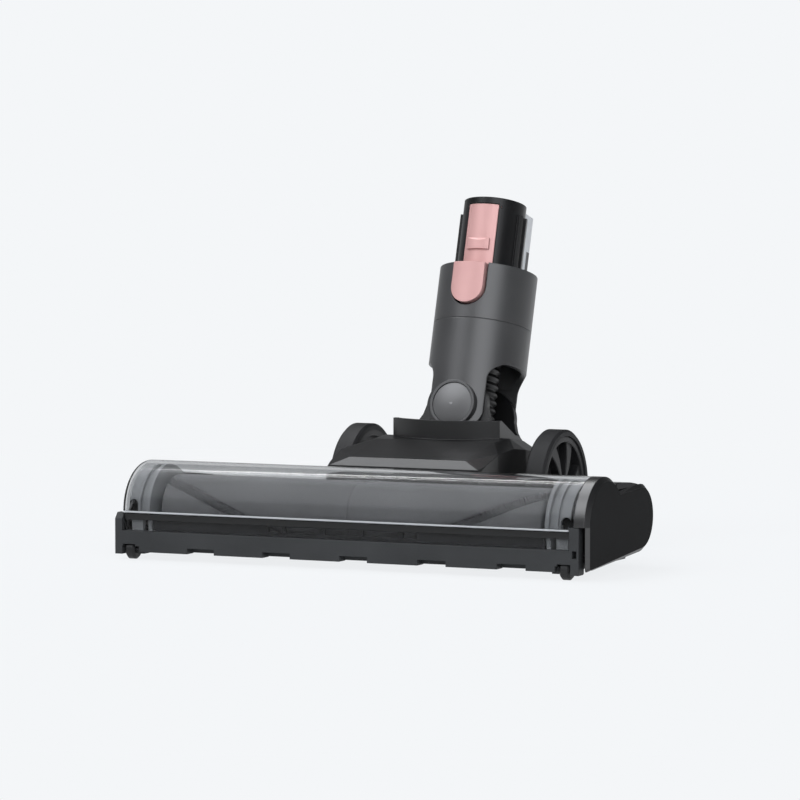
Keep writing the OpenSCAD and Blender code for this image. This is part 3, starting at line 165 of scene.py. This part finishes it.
# Camera as solved from the photograph, lamps and floor, in metres and degrees, with the lens in millimetres
CAM_TARGET = Vector((0.02941, -0.104757, 0.08406))
CAM_AZIMUTH, CAM_ELEVATION, CAM_DISTANCE = 25.0, 3.72, 1.989
CAM_LENS = 185.08
LAMP_TARGET = Vector((0.0, 0.0, 0.06))
FLOOR_HALF = 30.0
# Soft light patches of the studio: azimuth, elevation, inner and outer radius, strength
PATCHES = [(-36, 46, 4, 28, 3.8), (34, 29, 3, 34, 3.1), (254, 64, 8, 26, 3.6), (75, 70, 5, 30, 0.4)]
# Strength of the light from everywhere else
STUDIO_BASE = 0.1


# Places

def head_point(x, y, z):
    """Point of the head, given in the CAD source's millimetres, in the frame's metres."""
    return Vector(((x - MID_X) / 1000, (y - MID_Y) / 1000, z / 1000))


def neck_point(x, y, z):
    """Point of the neck at rest, with z along the neck from its roll axis."""
    z = z + YOKE_LEN
    return head_point(x, TILT_Y + y * math.cos(NECK_LEAN) + z * math.sin(NECK_LEAN),
                      TILT_Z - y * math.sin(NECK_LEAN) + z * math.cos(NECK_LEAN))


def roller_point(side, u, angle, r):
    """Point of the roller: u along the half from the middle, angle in the row's own section."""
    a = math.radians(angle - ROW_TWIST * u / ROW_END)
    return head_point(side * u, BRUSH_Y + r * math.sin(a), BRUSH_Z - r * math.cos(a))


def row_place(i, steps):
    """Distance from the middle of the roller to step i of a row."""
    return ROW_START + (ROW_END - ROW_START) * i / steps


def direction(azimuth, elevation):
    """Unit vector from the object, with azimuth 0 in front and 90 on its right."""
    a, e = math.radians(azimuth), math.radians(elevation)
    return Vector((math.sin(a) * math.cos(e), -math.cos(a) * math.cos(e), math.sin(e)))


def add_object(name, data):
    """New object in the scene."""
    obj = bpy.data.objects.new(name, data)
    bpy.context.scene.collection.objects.link(obj)
    return obj


def aim(obj, target, azimuth, elevation, distance):
    """Put a camera or lamp at a distance from the target, looking at it."""
    d = direction(azimuth, elevation)
    obj.location = target + d * distance
    obj.rotation_mode = "QUATERNION"
    obj.rotation_quaternion = (-d).to_track_quat("-Z", "Y")


# Node trees

def lin(v):
    """Linear light of an sRGB level from 0 to 255."""
    v = v / 255.0
    return v / 12.92 if v <= 0.04045 else ((v + 0.055) / 1.055) ** 2.4


def rgb(r, g, b):
    """Colour from three sRGB levels."""
    return (lin(r), lin(g), lin(b), 1.0)


PALE = rgb(244, 246, 248)


class Tree:
    """Short calls that add and join the nodes of one node tree."""

    def __init__(self, tree):
        self.tree = tree

    def feed(self, socket, value):
        """Join a node's output to the socket, or set the socket to a number or colour."""
        if isinstance(value, bpy.types.NodeSocket):
            self.tree.links.new(value, socket)
        else:
            socket.default_value = value

    def new(self, kind, inputs=None, **settings):
        """Add a node with its settings, and feed its inputs, by name or number."""
        node = self.tree.nodes.new(kind)
        for name, value in settings.items():
            setattr(node, name, value)
        for name, value in (inputs or {}).items():
            self.feed(node.inputs[name], value)
        return node

    def math(self, operation, a, b=0.0):
        """Result of one operation on numbers."""
        return self.new("ShaderNodeMath", {0: a, 1: b}, operation=operation).outputs[0]

    def vector_math(self, operation, output, a, b=(0, 0, 0)):
        """Named output of one operation on vectors."""
        return self.new("ShaderNodeVectorMath", {0: a, 1: b}, operation=operation).outputs[output]

    def axes(self, vector):
        """Outputs X, Y and Z of a vector."""
        return self.new("ShaderNodeSeparateXYZ", {0: vector}).outputs

    def span(self, value, low, high, start=0.3, stop=0.7, ease="LINEAR"):
        """Carry a value from the range start..stop over to the range low..high."""
        inputs = {"Value": value, "From Min": start, "From Max": stop, "To Min": low, "To Max": high}
        return self.new("ShaderNodeMapRange", inputs, interpolation_type=ease).outputs["Result"]

    def between(self, value, low, high, soft):
        """1 where a value is between low and high, 0 outside."""
        up = self.span(value, 0.0, 1.0, low - soft, low + soft)
        down = self.span(value, 1.0, 0.0, high - soft, high + soft)
        return self.math("MULTIPLY", up, down)

    def shades(self, value, low, high, start=0.3, stop=0.7):
        """Colour ramp between two shades."""
        node = self.new("ShaderNodeValToRGB", {"Fac": value})
        for element, position, colour in zip(node.color_ramp.elements, (start, stop), (low, high)):
            element.position = position
            element.color = colour
        return node.outputs["Color"]

    def mix(self, share, first, second):
        """Shader between two others, by the share of the second."""
        return self.new("ShaderNodeMixShader", {"Fac": share, 1: first, 2: second}).outputs["Shader"]

    def behind_clear(self, rays):
        """Rays through the clear cover that met no matt surface before, so that they see the background."""
        first = self.math("LESS_THAN", rays["Diffuse Depth"], 0.5)
        return self.math("MULTIPLY", rays["Is Transmission Ray"], first)


class Material(Tree):
    """A material round one Principled shader, with its noise in the object's own coordinates."""

    def __init__(self, name):
        self.material = bpy.data.materials.new(name)
        self.material.use_nodes = True
        super().__init__(self.material.node_tree)
        self.shader = self.tree.nodes["Principled BSDF"]
        self.surface = self.tree.nodes["Material Output"].inputs["Surface"]
        self.place = self.new("ShaderNodeTexCoord").outputs["Object"]

    def set(self, **values):
        """Feed inputs of the Principled shader, by their names with _ for each space."""
        for name, value in values.items():
            self.feed(self.shader.inputs[name.replace("_", " ")], value)

    def noise(self, scale, detail=2.0, roughness=0.5):
        """Noise that stays with the object."""
        inputs = {"Vector": self.place, "Scale": scale, "Detail": detail, "Roughness": roughness}
        return self.new("ShaderNodeTexNoise", inputs).outputs["Fac"]

    def bump(self, height, strength, distance, bevel=0.0):
        """Bump, over edges that look rounded by the bevel."""
        inputs = {"Strength": strength, "Distance": distance, "Height": height}
        if bevel:
            inputs["Normal"] = self.new("ShaderNodeBevel", {"Radius": bevel}, samples=4).outputs["Normal"]
        self.set(Normal=self.new("ShaderNodeBump", inputs).outputs["Normal"])


# Materials

def plastic(name, low, high, rough=(0.38, 0.46), spec=0.3, bevel=0.0005, metallic=0.0, rim_spec=0.0):
    """Moulded plastic: two close shades in broad patches, fine spark-eroded grain, softened edges.
    With a rim_spec, flat ends are matt and the rounded rim between them is glossier."""
    m = Material(name)
    tone = m.noise(scale=34, detail=3.0)
    m.set(Base_Color=m.shades(tone, low, high), Roughness=m.span(tone, *rough))
    m.set(Specular_IOR_Level=spec, Metallic=metallic)
    m.bump(m.noise(scale=2600, roughness=0.6), strength=0.25, distance=0.00004, bevel=bevel)
    if rim_spec:
        normal = m.new("ShaderNodeNewGeometry").outputs["True Normal"]
        sideways = m.math("ABSOLUTE", m.axes(normal)["X"])
        m.set(Specular_IOR_Level=m.span(sideways, rim_spec, spec, start=0.5, stop=0.95))
        m.set(Roughness=m.span(sideways, 0.3, rough[1], start=0.5, stop=0.95))
    return m.material


def metal(name, low, high, rough=(0.22, 0.34)):
    """Bare metal with fine marks."""
    m = Material(name)
    tone = m.noise(scale=900, detail=3.0, roughness=0.6)
    m.set(Base_Color=m.shades(tone, low, high), Roughness=m.span(tone, *rough), Metallic=1.0)
    m.bump(tone, strength=0.15, distance=0.00002, bevel=0.0002)
    return m.material


def rubber(name, low, high, rough=(0.55, 0.7), spec=0.25, bevel=0.0004):
    """Soft moulded rubber: two close shades, fine grain."""
    m = Material(name)
    tone = m.noise(scale=70, detail=4.0)
    m.set(Base_Color=m.shades(tone, low, high), Roughness=m.span(tone, *rough), Specular_IOR_Level=spec)
    m.bump(m.noise(scale=1800, detail=3.0), strength=0.3, distance=0.00004, bevel=bevel)
    return m.material


def fibre(name, low, high, sheen, spot=240):
    """Pile or bristles, with a spotted tone and a little sheen."""
    m = Material(name)
    m.set(Base_Color=m.shades(m.noise(scale=spot, detail=4.0, roughness=0.65), low, high))
    m.set(Roughness=0.72, Specular_IOR_Level=0.25, Sheen_Weight=sheen, Sheen_Roughness=0.45)
    m.bump(m.noise(scale=2200, detail=3.0, roughness=0.7), strength=0.3, distance=0.00008)
    return m.material


# Bands painted on the skirt, in metres over the floor: a black band of painted shade under a pale band of
# painted highlight along the lip; bottom, top, colour and roughness
SKIRT_PAINTED_SHADE_AND_HIGHLIGHT = [(0.0199, 0.0231, rgb(14, 14, 15), 0.4), (0.0236, 0.0244, rgb(186, 188, 190), 0.3)]
BAND_SOFT = 0.0001


def clear(name, low, high):
    """Clear smoke-tinted plastic. Shadow rays pass straight, so that what is inside is lit.
    The skirt has a black band of painted shade under a pale band of painted highlight along its lip."""
    m = Material(name)
    m.set(Base_Color=m.shades(m.noise(scale=26), low, high))
    m.set(Roughness=m.span(m.noise(scale=60, detail=3.0), 0.02, 0.06))
    m.set(IOR=1.2, Transmission_Weight=1.0)
    rays = m.new("ShaderNodeLightPath").outputs
    through = m.new("ShaderNodeBsdfTransparent", {"Color": (0.9, 0.9, 0.91, 1)}).outputs["BSDF"]
    shader = m.mix(rays["Is Shadow Ray"], m.shader.outputs["BSDF"], through)
    axes = m.axes(m.place)
    front = m.math("LESS_THAN", axes["Y"], head_point(0, SKIRT_BACK, 0).y)
    # Painted shade in black and a painted highlight in pale grey, laid over the front of the skirt
    for bottom, top, colour, roughness in SKIRT_PAINTED_SHADE_AND_HIGHLIGHT:
        band = m.math("MULTIPLY", m.between(axes["Z"], bottom, top, BAND_SOFT), front)
        skin = m.new("ShaderNodeBsdfPrincipled", {"Base Color": colour, "Roughness": roughness})
        shader = m.mix(band, shader, skin.outputs["BSDF"])
    m.feed(m.surface, shader)
    return m.material


def painted_rose(name, low, high):
    """Rose-gold paint: fine metal flake under a thin satin coat."""
    m = Material(name)
    flake = m.noise(scale=3200)
    m.set(Base_Color=m.shades(m.noise(scale=40, detail=3.0), low, high), Roughness=m.span(flake, 0.34, 0.44))
    m.set(Metallic=0.2, Specular_IOR_Level=0.4, Coat_Weight=0.1, Coat_Roughness=0.3)
    m.bump(flake, strength=0.12, distance=0.00003, bevel=0.0005)
    return m.material


def ground(name):
    """Pale matt floor. The camera and gloss see it in the background's colour,
    which gives way near the object, so that its shadow shows."""
    m = Material(name)
    low, high = rgb(228, 230, 232), rgb(232, 234, 236)
    m.set(Base_Color=m.shades(m.noise(scale=3.0), low, high, start=0.0, stop=1.0))
    m.set(Roughness=0.9, Specular_IOR_Level=0.0)
    rays = m.new("ShaderNodeLightPath").outputs
    direct = m.math("MAXIMUM", rays["Is Camera Ray"], rays["Is Glossy Ray"])
    seen = m.math("MAXIMUM", direct, m.behind_clear(rays))
    away = m.vector_math("LENGTH", "Value", m.place)
    pale_share = m.span(away, 0.9, 1.0, start=0.12, stop=0.7, ease="SMOOTHSTEP")
    share = m.math("MULTIPLY", seen, pale_share)
    pale = m.new("ShaderNodeEmission", {"Color": PALE}).outputs["Emission"]
    m.feed(m.surface, m.mix(share, m.shader.outputs["BSDF"], pale))
    return m.material


MATERIALS = {
    "dark": plastic("mat_dark_housing", rgb(14, 14, 15), rgb(18, 18, 19), rough=(0.3, 0.36), spec=0.5),
    "cap": plastic("mat_cap", rgb(20, 20, 21), rgb(24, 24, 25), rough=(0.4, 0.48), spec=0.03, rim_spec=1.0),
    "bar": plastic("mat_bar", rgb(52, 53, 54), rgb(58, 59, 60), rough=(0.42, 0.5), spec=0.15),
    "neck": plastic("mat_neck", rgb(66, 66, 67), rgb(71, 71, 72), rough=(0.34, 0.4), spec=0.8,
                    bevel=0.0006, metallic=0.3),
    "pivot": plastic("mat_pivot", rgb(92, 92, 93), rgb(98, 98, 99), rough=(0.34, 0.4), spec=0.8,
                     bevel=0.0, metallic=0.3),
    "black": plastic("mat_black", rgb(20, 20, 21), rgb(24, 24, 25), rough=(0.28, 0.36)),
    "grille": plastic("mat_grille", rgb(40, 40, 41), rgb(46, 46, 47), rough=(0.4, 0.5)),
    "ring": plastic("mat_ring", rgb(138, 140, 141), rgb(146, 148, 149), rough=(0.35, 0.45)),
    "hub": plastic("mat_hub", rgb(28, 28, 29), rgb(34, 34, 35), rough=(0.4, 0.5), bevel=0.0003),
    "white": plastic("mat_terminal", rgb(206, 208, 210), rgb(216, 218, 220), rough=(0.25, 0.35), spec=0.5,
                     bevel=0.0003),
    "clear": clear("mat_clear_cover", rgb(200, 201, 202), rgb(206, 207, 208)),
    "rose": painted_rose("mat_rose", rgb(200, 154, 151), rgb(206, 160, 157)),
    "steel": metal("mat_steel", rgb(150, 150, 153), rgb(176, 176, 179)),
    "can": metal("mat_motor_can", rgb(140, 141, 144), rgb(158, 159, 162), rough=(0.3, 0.42)),
    "sintered": metal("mat_sintered", rgb(170, 150, 108), rgb(186, 166, 122), rough=(0.4, 0.55)),
    "contacts": metal("mat_contacts", rgb(214, 184, 104), rgb(226, 198, 120), rough=(0.18, 0.28)),
    "belt": rubber("mat_belt", rgb(34, 34, 34), rgb(40, 40, 40)),
    "tyre": rubber("mat_tyre", rgb(36, 36, 37), rgb(41, 41, 42), rough=(0.5, 0.62), spec=0.2),
    "hose": rubber("mat_hose", rgb(14, 14, 14), rgb(19, 19, 19), rough=(0.4, 0.5), spec=0.5, bevel=0.0),
    "pile": fibre("mat_pile", rgb(108, 108, 109), rgb(115, 115, 116), sheen=0.12, spot=60),
    # Painted light: the bristles are lighter than the pile, so that the shade between their strands does not
    # show
    "bristle": fibre("mat_bristles_painted_light", rgb(164, 164, 165), rgb(172, 172, 173), sheen=0.12),
    "seal": fibre("mat_seal", rgb(34, 34, 35), rgb(44, 44, 45), sheen=0.2),
    "floor": ground("mat_floor"),
}

# CAD nodes by the material that they get
LOOKS = {
    "bar": ["base_housing"],
    "grille": ["inlet_grille"],
    "clear": ["clear_cover"],
    "ring": ["end_plate_left", "end_plate_right"],
    "cap": ["end_cap_left", "end_cap_right"],
    "dark": ["deck_cover", "rear_hood", "tilt_yoke"],
    "black": ["air_duct", "motor_cradle", "brush_pulley", "drive_hub", "brush_core", "end_plug_left",
              "brush_lock", "hose_cuff_lower", "hose_cuff_upper", "spigot"],
    "steel": ["housing_screws", "motor_shaft", "brush_bearing_left", "brush_bearing_right",
              "wheel_axle_left", "wheel_axle_right", "roller_pin_left", "roller_pin_right",
              "tilt_pin_left", "tilt_pin_right", "roll_pin_front", "roll_pin_rear", "latch_spring"],
    "can": ["motor"],
    "sintered": ["motor_pulley"],
    "belt": ["drive_belt"],
    "pile": ["brush_pile"],
    "bristle": ["brush_bristles"],
    "seal": ["rear_seal_strip"],
    "hub": ["rear_wheel_left", "rear_wheel_right", "front_roller_left", "front_roller_right"],
    "tyre": ["tyre_left", "tyre_right"],
    "neck": ["neck_tube", "neck_collar"],
    "pivot": ["pivot_cap_front", "pivot_cap_rear"],
    "hose": ["hose"],
    "white": ["terminal_block"],
    "contacts": ["contact_blades"],
    "rose": ["latch_strip", "release_button"],
}


def dress_nodes():
    """Give every CAD node its one material."""
    look_of = {node: look for look, nodes in LOOKS.items() for node in nodes}
    for name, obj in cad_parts.items():
        obj.data.materials.clear()
        obj.data.materials.append(MATERIALS[look_of[name]])
        for polygon in obj.data.polygons:
            polygon.material_index = 0


# Mesh helpers

def piece(name, verts, faces, look, body=None, smooth=True):
    """Mesh object with its material, on a body where one is given."""
    mesh = bpy.data.meshes.new(name)
    mesh.from_pydata([tuple(v) for v in verts], [], faces, shade_flat=not smooth)
    mesh.validate()
    mesh.materials.append(MATERIALS[look])
    obj = add_object(name, mesh)
    if body:
        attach(obj, body)
    return obj


def sweep(verts, faces, rings, loop=False, flip=False):
    """Skin over rings of points, each joined to the next, closed into a loop or by a face on each end."""
    start, n, w = len(verts), len(rings), len(rings[0])
    for ring in rings:
        verts += ring
    for i in range(n if loop else n - 1):
        for j in range(w):
            this, after = start + i * w, start + (i + 1) % n * w
            a, b, c, d = this + j, this + (j + 1) % w, after + (j + 1) % w, after + j
            faces.append((a, d, c, b) if flip else (a, b, c, d))
    if not loop:
        near = [start + j for j in range(w)]
        far = [start + (n - 1) * w + j for j in range(w)]
        (far if flip else near).reverse()
        faces += [tuple(near), tuple(far)]


def spike(verts, faces, foot, tip):
    """Closed three-sided spike from a triangle to a point, faces outwards."""
    a, b, c = foot
    if (b - a).cross(c - a).dot(tip - a) < 0:
        b, c = c, b
    s = len(verts)
    verts += [a, b, c, tip]
    faces += [(s, s + 2, s + 1), (s, s + 1, s + 3), (s + 1, s + 2, s + 3), (s + 2, s, s + 3)]


# Roller

def pile_skin(verts, faces, rng, side, first, last):
    """Closed body of one field of pile, between two angles."""
    w = PILE_COLUMNS + 1
    top, foot = len(verts), len(verts) + (PILE_STEPS + 1) * w
    for i in range(PILE_STEPS + 1):
        end = (PILE_STEPS - i) / PILE_STEPS * END_RISE if i > PILE_STEPS * (1 - END_SHARE) else 1
        for j in range(w):
            t = j / PILE_COLUMNS
            inwards = min(t, 1 - t, end) * EDGE_RISE
            drop = PILE_DROP * max(0.0, 1 - inwards) ** 2
            r = PILE_R - PILE_DIP - drop + rng.uniform(-PILE_UNEVEN, PILE_UNEVEN)
            verts.append(roller_point(side, row_place(i, PILE_STEPS), first + (last - first) * t, r))
    for i in range(PILE_STEPS + 1):
        for j in range(w):
            angle = first + (last - first) * j / PILE_COLUMNS
            verts.append(roller_point(side, row_place(i, PILE_STEPS), angle, CORE_R + BOND))

    def quad(a, b, c, d):
        faces.append((a, d, c, b) if side < 0 else (a, b, c, d))

    for i in range(PILE_STEPS):
        p, q = top + i * w, foot + i * w
        for j in range(PILE_COLUMNS):
            quad(p + j, p + j + 1, p + w + j + 1, p + w + j)
            quad(q + j, q + w + j, q + w + j + 1, q + j + 1)
        quad(p, p + w, q + w, q)
        p, q = p + PILE_COLUMNS, q + PILE_COLUMNS
        quad(p, q, q + w, p + w)
    to_end = PILE_STEPS * w
    for j in range(PILE_COLUMNS):
        p, q = top + j, foot + j
        quad(p, q, q + 1, p + 1)
        p, q = p + to_end, q + to_end
        quad(p, p + 1, q + 1, q)


def pile_tips(verts, faces, rng, side, first, last):
    """Fibre tips over one field of pile, clear of its edges."""
    half_angle = math.degrees(TIP_HALF_ROUND / PILE_R)
    triangle = ((-TIP_HALF, -half_angle), (TIP_HALF, -half_angle), (0, half_angle))
    for _ in range(PILE_TIPS):
        u = rng.uniform(TIP_MARGIN, ROW_END - TIP_MARGIN)
        a = rng.uniform(first + TIP_MARGIN_ANGLE, last - TIP_MARGIN_ANGLE)
        lean = rng.uniform(-TIP_LEAN, TIP_LEAN)
        shift = rng.uniform(-TIP_SHIFT, TIP_SHIFT)
        foot = [roller_point(side, u + x, a + y, PILE_R - TIP_ROOT) for x, y in triangle]
        tip = roller_point(side, u + shift, a + lean, PILE_R - rng.uniform(0.0, TIP_SHORT))
        spike(verts, faces, foot, tip)


def make_pile():
    """Short pile that covers the roller between the bristle rows."""
    rng = random.Random(7)
    verts, faces = [], []
    for side in (-1, 1):
        for turn in (0, 180):
            field = (side, FIELD_FROM + turn, FIELD_TO + turn)
            pile_skin(verts, faces, rng, *field)
            pile_tips(verts, faces, rng, *field)
    o = piece("pile_fields", verts, faces, "pile", "roller")
    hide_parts("brush_pile")


def bristle_foot(verts, faces, side, turn):
    """Woven foot that holds the strands of one row."""
    half = list(zip(FOOT_ANGLES, (CORE_R + BOND, FOOT_R - FOOT_DROP, FOOT_R)))
    section = [(-a, r) for a, r in half] + half[::-1]
    rings = [[roller_point(side, row_place(i, FOOT_STEPS), turn + a, r) for a, r in section]
             for i in range(FOOT_STEPS + 1)]
    sweep(verts, faces, rings, flip=side < 0)


def bristle_strands(verts, faces, rng, side, turn):
    """Slim three-sided strands of one row, each with its own lean."""
    corners = [math.radians(-side * c) for c in (0, 120, 240)]

    def section(u, a, r, half, half_angle):
        return [roller_point(side, u + half * math.cos(c), a + half_angle * math.sin(c), r) for c in corners]

    for i in range(BUNCHES):
        for j in range(BUNCH_STRANDS):
            u = STRAND_MARGIN + (CORE_HX - 4 * STRAND_MARGIN) * (i + rng.uniform(0.1, 0.9)) / BUNCHES
            a = turn + STRAND_STEP * (j - (BUNCH_STRANDS - 1) / 2) + rng.uniform(-ROOT_SPREAD, ROOT_SPREAD)
            tip_a = a + rng.uniform(-TIP_SPREAD, TIP_SPREAD)
            tip_u = u + rng.uniform(-TIP_SPREAD_U, TIP_SPREAD_U)
            tip_r = BRISTLE_R - rng.uniform(*STRAND_SHORT)
            root = section(u, a, STRAND_ROOT_R, *STRAND_ROOT)
            tip = section(tip_u, tip_a, tip_r, *STRAND_TIP)
            sweep(verts, faces, [root, tip])


def make_bristles():
    """Bristle rows that wind round the roller."""
    rng = random.Random(11)
    verts, faces = [], []
    for side in (-1, 1):
        for turn in (0, 180):
            bristle_foot(verts, faces, side, turn)
            bristle_strands(verts, faces, rng, side, turn)
    o = piece("bristle_rows", verts, faces, "bristle", "roller", smooth=False)
    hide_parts("brush_bristles")


# Seal strip, hose, wheels and spring

def make_seal():
    """Strip of short pile behind the suction mouth."""
    rng = random.Random(5)
    verts, faces = [], []
    rings = []
    for i in range(SEAL_STEPS + 1):
        x = -MOUTH_HW + 2 * MOUTH_HW * i / SEAL_STEPS
        rings.append([head_point(x, MOUTH_BACK + y, SOLE_Z + z) for y, z in SEAL_OUTLINE])
    sweep(verts, faces, rings, flip=True)
    reach = MOUTH_HW - SEAL_MARGIN
    triangle = ((-SEAL_HALF, 0), (SEAL_HALF, 0), (0, SEAL_HALF))
    for _ in range(SEAL_TIPS):
        x = rng.uniform(-reach, reach)
        y = MOUTH_BACK + rng.uniform(SEAL_FROM, SEAL_TO)
        foot = [head_point(x + i, y + j, SEAL_ROOT_Z) for i, j in triangle]
        dx, dy = rng.uniform(-SEAL_SHIFT, SEAL_SHIFT), rng.uniform(-SEAL_SHIFT, SEAL_SHIFT)
        spike(verts, faces, foot, head_point(x + dx, y + dy, SEAL_TIP_Z + rng.uniform(0, SEAL_SHORT)))
    o = piece("seal_pile", verts, faces, "seal", "head")
    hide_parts("rear_seal_strip")


def make_hose():
    """Corrugated hose with rounded folds, between the yoke and the neck."""
    folds = int((HOSE_Z1 - HOSE_Z0) / HOSE_PITCH) - 2
    first_z = HOSE_Z0 + (HOSE_Z1 - HOSE_Z0 - folds * HOSE_PITCH) / 2
    out_r = HOSE_R - HOSE_FOLD
    in_r = out_r - HOSE_WALL

    def fold(i, steps):
        """Height along the folds and share of their depth at one step."""
        z = i / steps * HOSE_PITCH
        return first_z + z, 0.5 - 0.5 * math.cos(2 * math.pi * z / HOSE_PITCH)

    profile = [(in_r, HOSE_Z0), (out_r, HOSE_Z0)]
    for i in range(folds * FOLD_STEPS + 1):
        z, share = fold(i, FOLD_STEPS)
        profile.append((out_r + HOSE_FOLD * share ** 0.7, z))
    profile += [(out_r, HOSE_Z1), (in_r, HOSE_Z1)]
    for i in range(folds * LINING_STEPS, -1, -1):
        z, share = fold(i, LINING_STEPS)
        profile.append((in_r + HOSE_FOLD * 0.5 * share, z))
    verts, faces = [], []
    angles = [2 * math.pi * j / HOSE_SEGMENTS for j in range(HOSE_SEGMENTS)]
    rings = [[neck_point(r * math.cos(a), r * math.sin(a), z) for a in angles] for r, z in profile]
    sweep(verts, faces, rings, loop=True)
    o = piece("hose_folds", verts, faces, "hose")
    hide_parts("hose")
    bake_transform(o)


def make_wheel(side):
    """Wheel with a closed web and curved spokes that grow wider from the boss to the rim."""
    verts, faces = [], []
    e = WHEEL_BEVEL
    rim_r, rim_w = WHEEL_R - TYRE_T, WHEEL_W - RIM_BACK
    rim_in = rim_r - RIM_T
    bore_r, boss_r, boss_w = AXLE_R + RUN_GAP, AXLE_R + BOSS_T, WHEEL_W - BOSS_BACK
    web_top, web_mid = WEB_Z + WEB_T, WEB_Z + WEB_T / 2

    def point(r, a, z):
        return head_point(side * (WHEEL_X + z), WHEEL_Y + r * math.sin(a), WHEEL_R - side * r * math.cos(a))

    def turned(profile):
        angles = [2 * math.pi * j / WHEEL_SEGMENTS for j in range(WHEEL_SEGMENTS)]
        sweep(verts, faces, [[point(r, a, z) for r, z in profile] for a in angles], loop=True, flip=True)

    turned([(rim_in, e), (rim_in + e, 0), (rim_r, 0), (rim_r, rim_w - e), (rim_r - e, rim_w),
            (rim_in + e, rim_w), (rim_in, rim_w - e)])
    turned([(bore_r, WEB_Z), (rim_in + e, WEB_Z), (rim_in + e, web_top), (bore_r, web_top)])
    turned([(bore_r, 0), (boss_r, 0), (boss_r, boss_w - e), (boss_r - e, boss_w), (bore_r, boss_w)])
    for k in range(SPOKE_N):
        rings = []
        for i in range(SPOKE_STEPS + 1):
            r = boss_r - e + (rim_in - boss_r + 2 * e) * i / SPOKE_STEPS
            a = math.asin(r / (2 * SPOKE_BOW)) + math.radians(SPOKE_TURN + 360.0 / SPOKE_N * k)
            b = a + math.radians(SPOKE_ANGLE)
            section = [(a, web_mid), (a, SPOKE_Z - e), (a + e / r, SPOKE_Z), (b - e / r, SPOKE_Z),
                       (b, SPOKE_Z - e), (b, web_mid)]
            rings.append([point(r, angle, z) for angle, z in section])
        sweep(verts, faces, rings, flip=True)
    name = "right" if side > 0 else "left"
    o = piece("wheel_disc_" + name, verts, faces, "hub", "wheel_" + name, smooth=False)
    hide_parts("rear_wheel_" + name)


def make_spring():
    """Coil behind the release button."""
    verts, faces, rings = [], [], []
    steps = COIL_STEPS * SPRING_TURNS
    for i in range(steps + 1):
        a = 2 * math.pi * SPRING_TURNS * i / steps
        ring = []
        for j in range(WIRE_SEGMENTS):
            b = 2 * math.pi * j / WIRE_SEGMENTS
            r = SPRING_R + SPRING_WIRE * math.cos(b)
            y = SPRING_Y0 + (SPRING_Y1 - SPRING_Y0) * i / steps + SPRING_WIRE * math.sin(b)
            ring.append(neck_point(r * math.cos(a), y, SPRING_Z + r * math.sin(a)))
        rings.append(ring)
    sweep(verts, faces, rings)
    o = piece("latch_coil", verts, faces, "steel", "neck")
    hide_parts("latch_spring")
    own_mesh(o)


# Camera, floor, world and lamps

def make_camera():
    """Camera at the photograph's place."""
    data = bpy.data.cameras.new("camera")
    data.sensor_width = 36.0
    data.lens = CAM_LENS
    data.clip_start = 0.05
    data.clip_end = 60.0
    camera = add_object("camera", data)
    aim(camera, CAM_TARGET, CAM_AZIMUTH, CAM_ELEVATION, CAM_DISTANCE)
    bpy.context.scene.camera = camera


def make_floor():
    """Floor under the part, far wider than any view."""
    s = FLOOR_HALF
    corners = [(-s, -s, 0), (s, -s, 0), (s, s, 0), (-s, s, 0)]
    o = piece("floor", corners, [(0, 1, 2, 3)], "floor", smooth=False)


def make_world():
    """Pale background for the camera, and soft patches of light for everything else.
    Gloss sees the background too, less and less with height."""
    world = bpy.data.worlds.new("studio")
    bpy.context.scene.world = world
    world.use_nodes = True
    t = Tree(world.node_tree)
    t.tree.nodes.clear()
    rays = t.new("ShaderNodeLightPath").outputs
    sky = t.new("ShaderNodeTexCoord").outputs["Generated"]
    ray = t.vector_math("NORMALIZE", "Vector", sky)
    light = STUDIO_BASE
    for azimuth, elevation, inner, outer, strength in PATCHES:
        toward = t.vector_math("DOT_PRODUCT", "Value", ray, direction(azimuth, elevation))
        rim, core = math.cos(math.radians(outer)), math.cos(math.radians(inner))
        patch = t.span(toward, 0.0, strength, start=rim, stop=core, ease="SMOOTHERSTEP")
        light = t.math("ADD", light, patch)
    near = t.span(t.axes(ray)["Z"], 0.5, 0.0, start=0.02, stop=0.34, ease="SMOOTHSTEP")
    gloss = t.math("MULTIPLY", near, rays["Is Glossy Ray"])
    seen = t.math("MAXIMUM", rays["Is Camera Ray"], t.behind_clear(rays))
    shown = t.math("MAXIMUM", seen, gloss)
    soft = t.new("ShaderNodeBackground", {"Color": (0.95, 0.97, 1.0, 1), "Strength": light})
    pale = t.new("ShaderNodeBackground", {"Color": PALE})
    out = t.new("ShaderNodeOutputWorld")
    t.feed(out.inputs["Surface"], t.mix(shown, soft.outputs["Background"], pale.outputs["Background"]))


def lamp(name, azimuth, elevation, distance, width, height, power):
    """Soft area lamp that is aimed at the part."""
    data = bpy.data.lights.new(name, "AREA")
    data.shape = "RECTANGLE"
    data.size = width
    data.size_y = height
    data.energy = power
    aim(add_object(name, data), LAMP_TARGET, azimuth, elevation, distance)


make_camera()
dress_nodes()
make_wheel(1)
make_wheel(-1)
make_spring()
make_pile()
make_bristles()
make_seal()
make_hose()
make_floor()
make_world()
lamp("strip", azimuth=227, elevation=55, distance=1.3, width=0.5, height=0.07, power=1.6)
lamp("sun", azimuth=5, elevation=55, distance=2.5, width=1.2, height=1.2, power=4)

bpy.context.scene.view_settings.view_transform = "Standard"
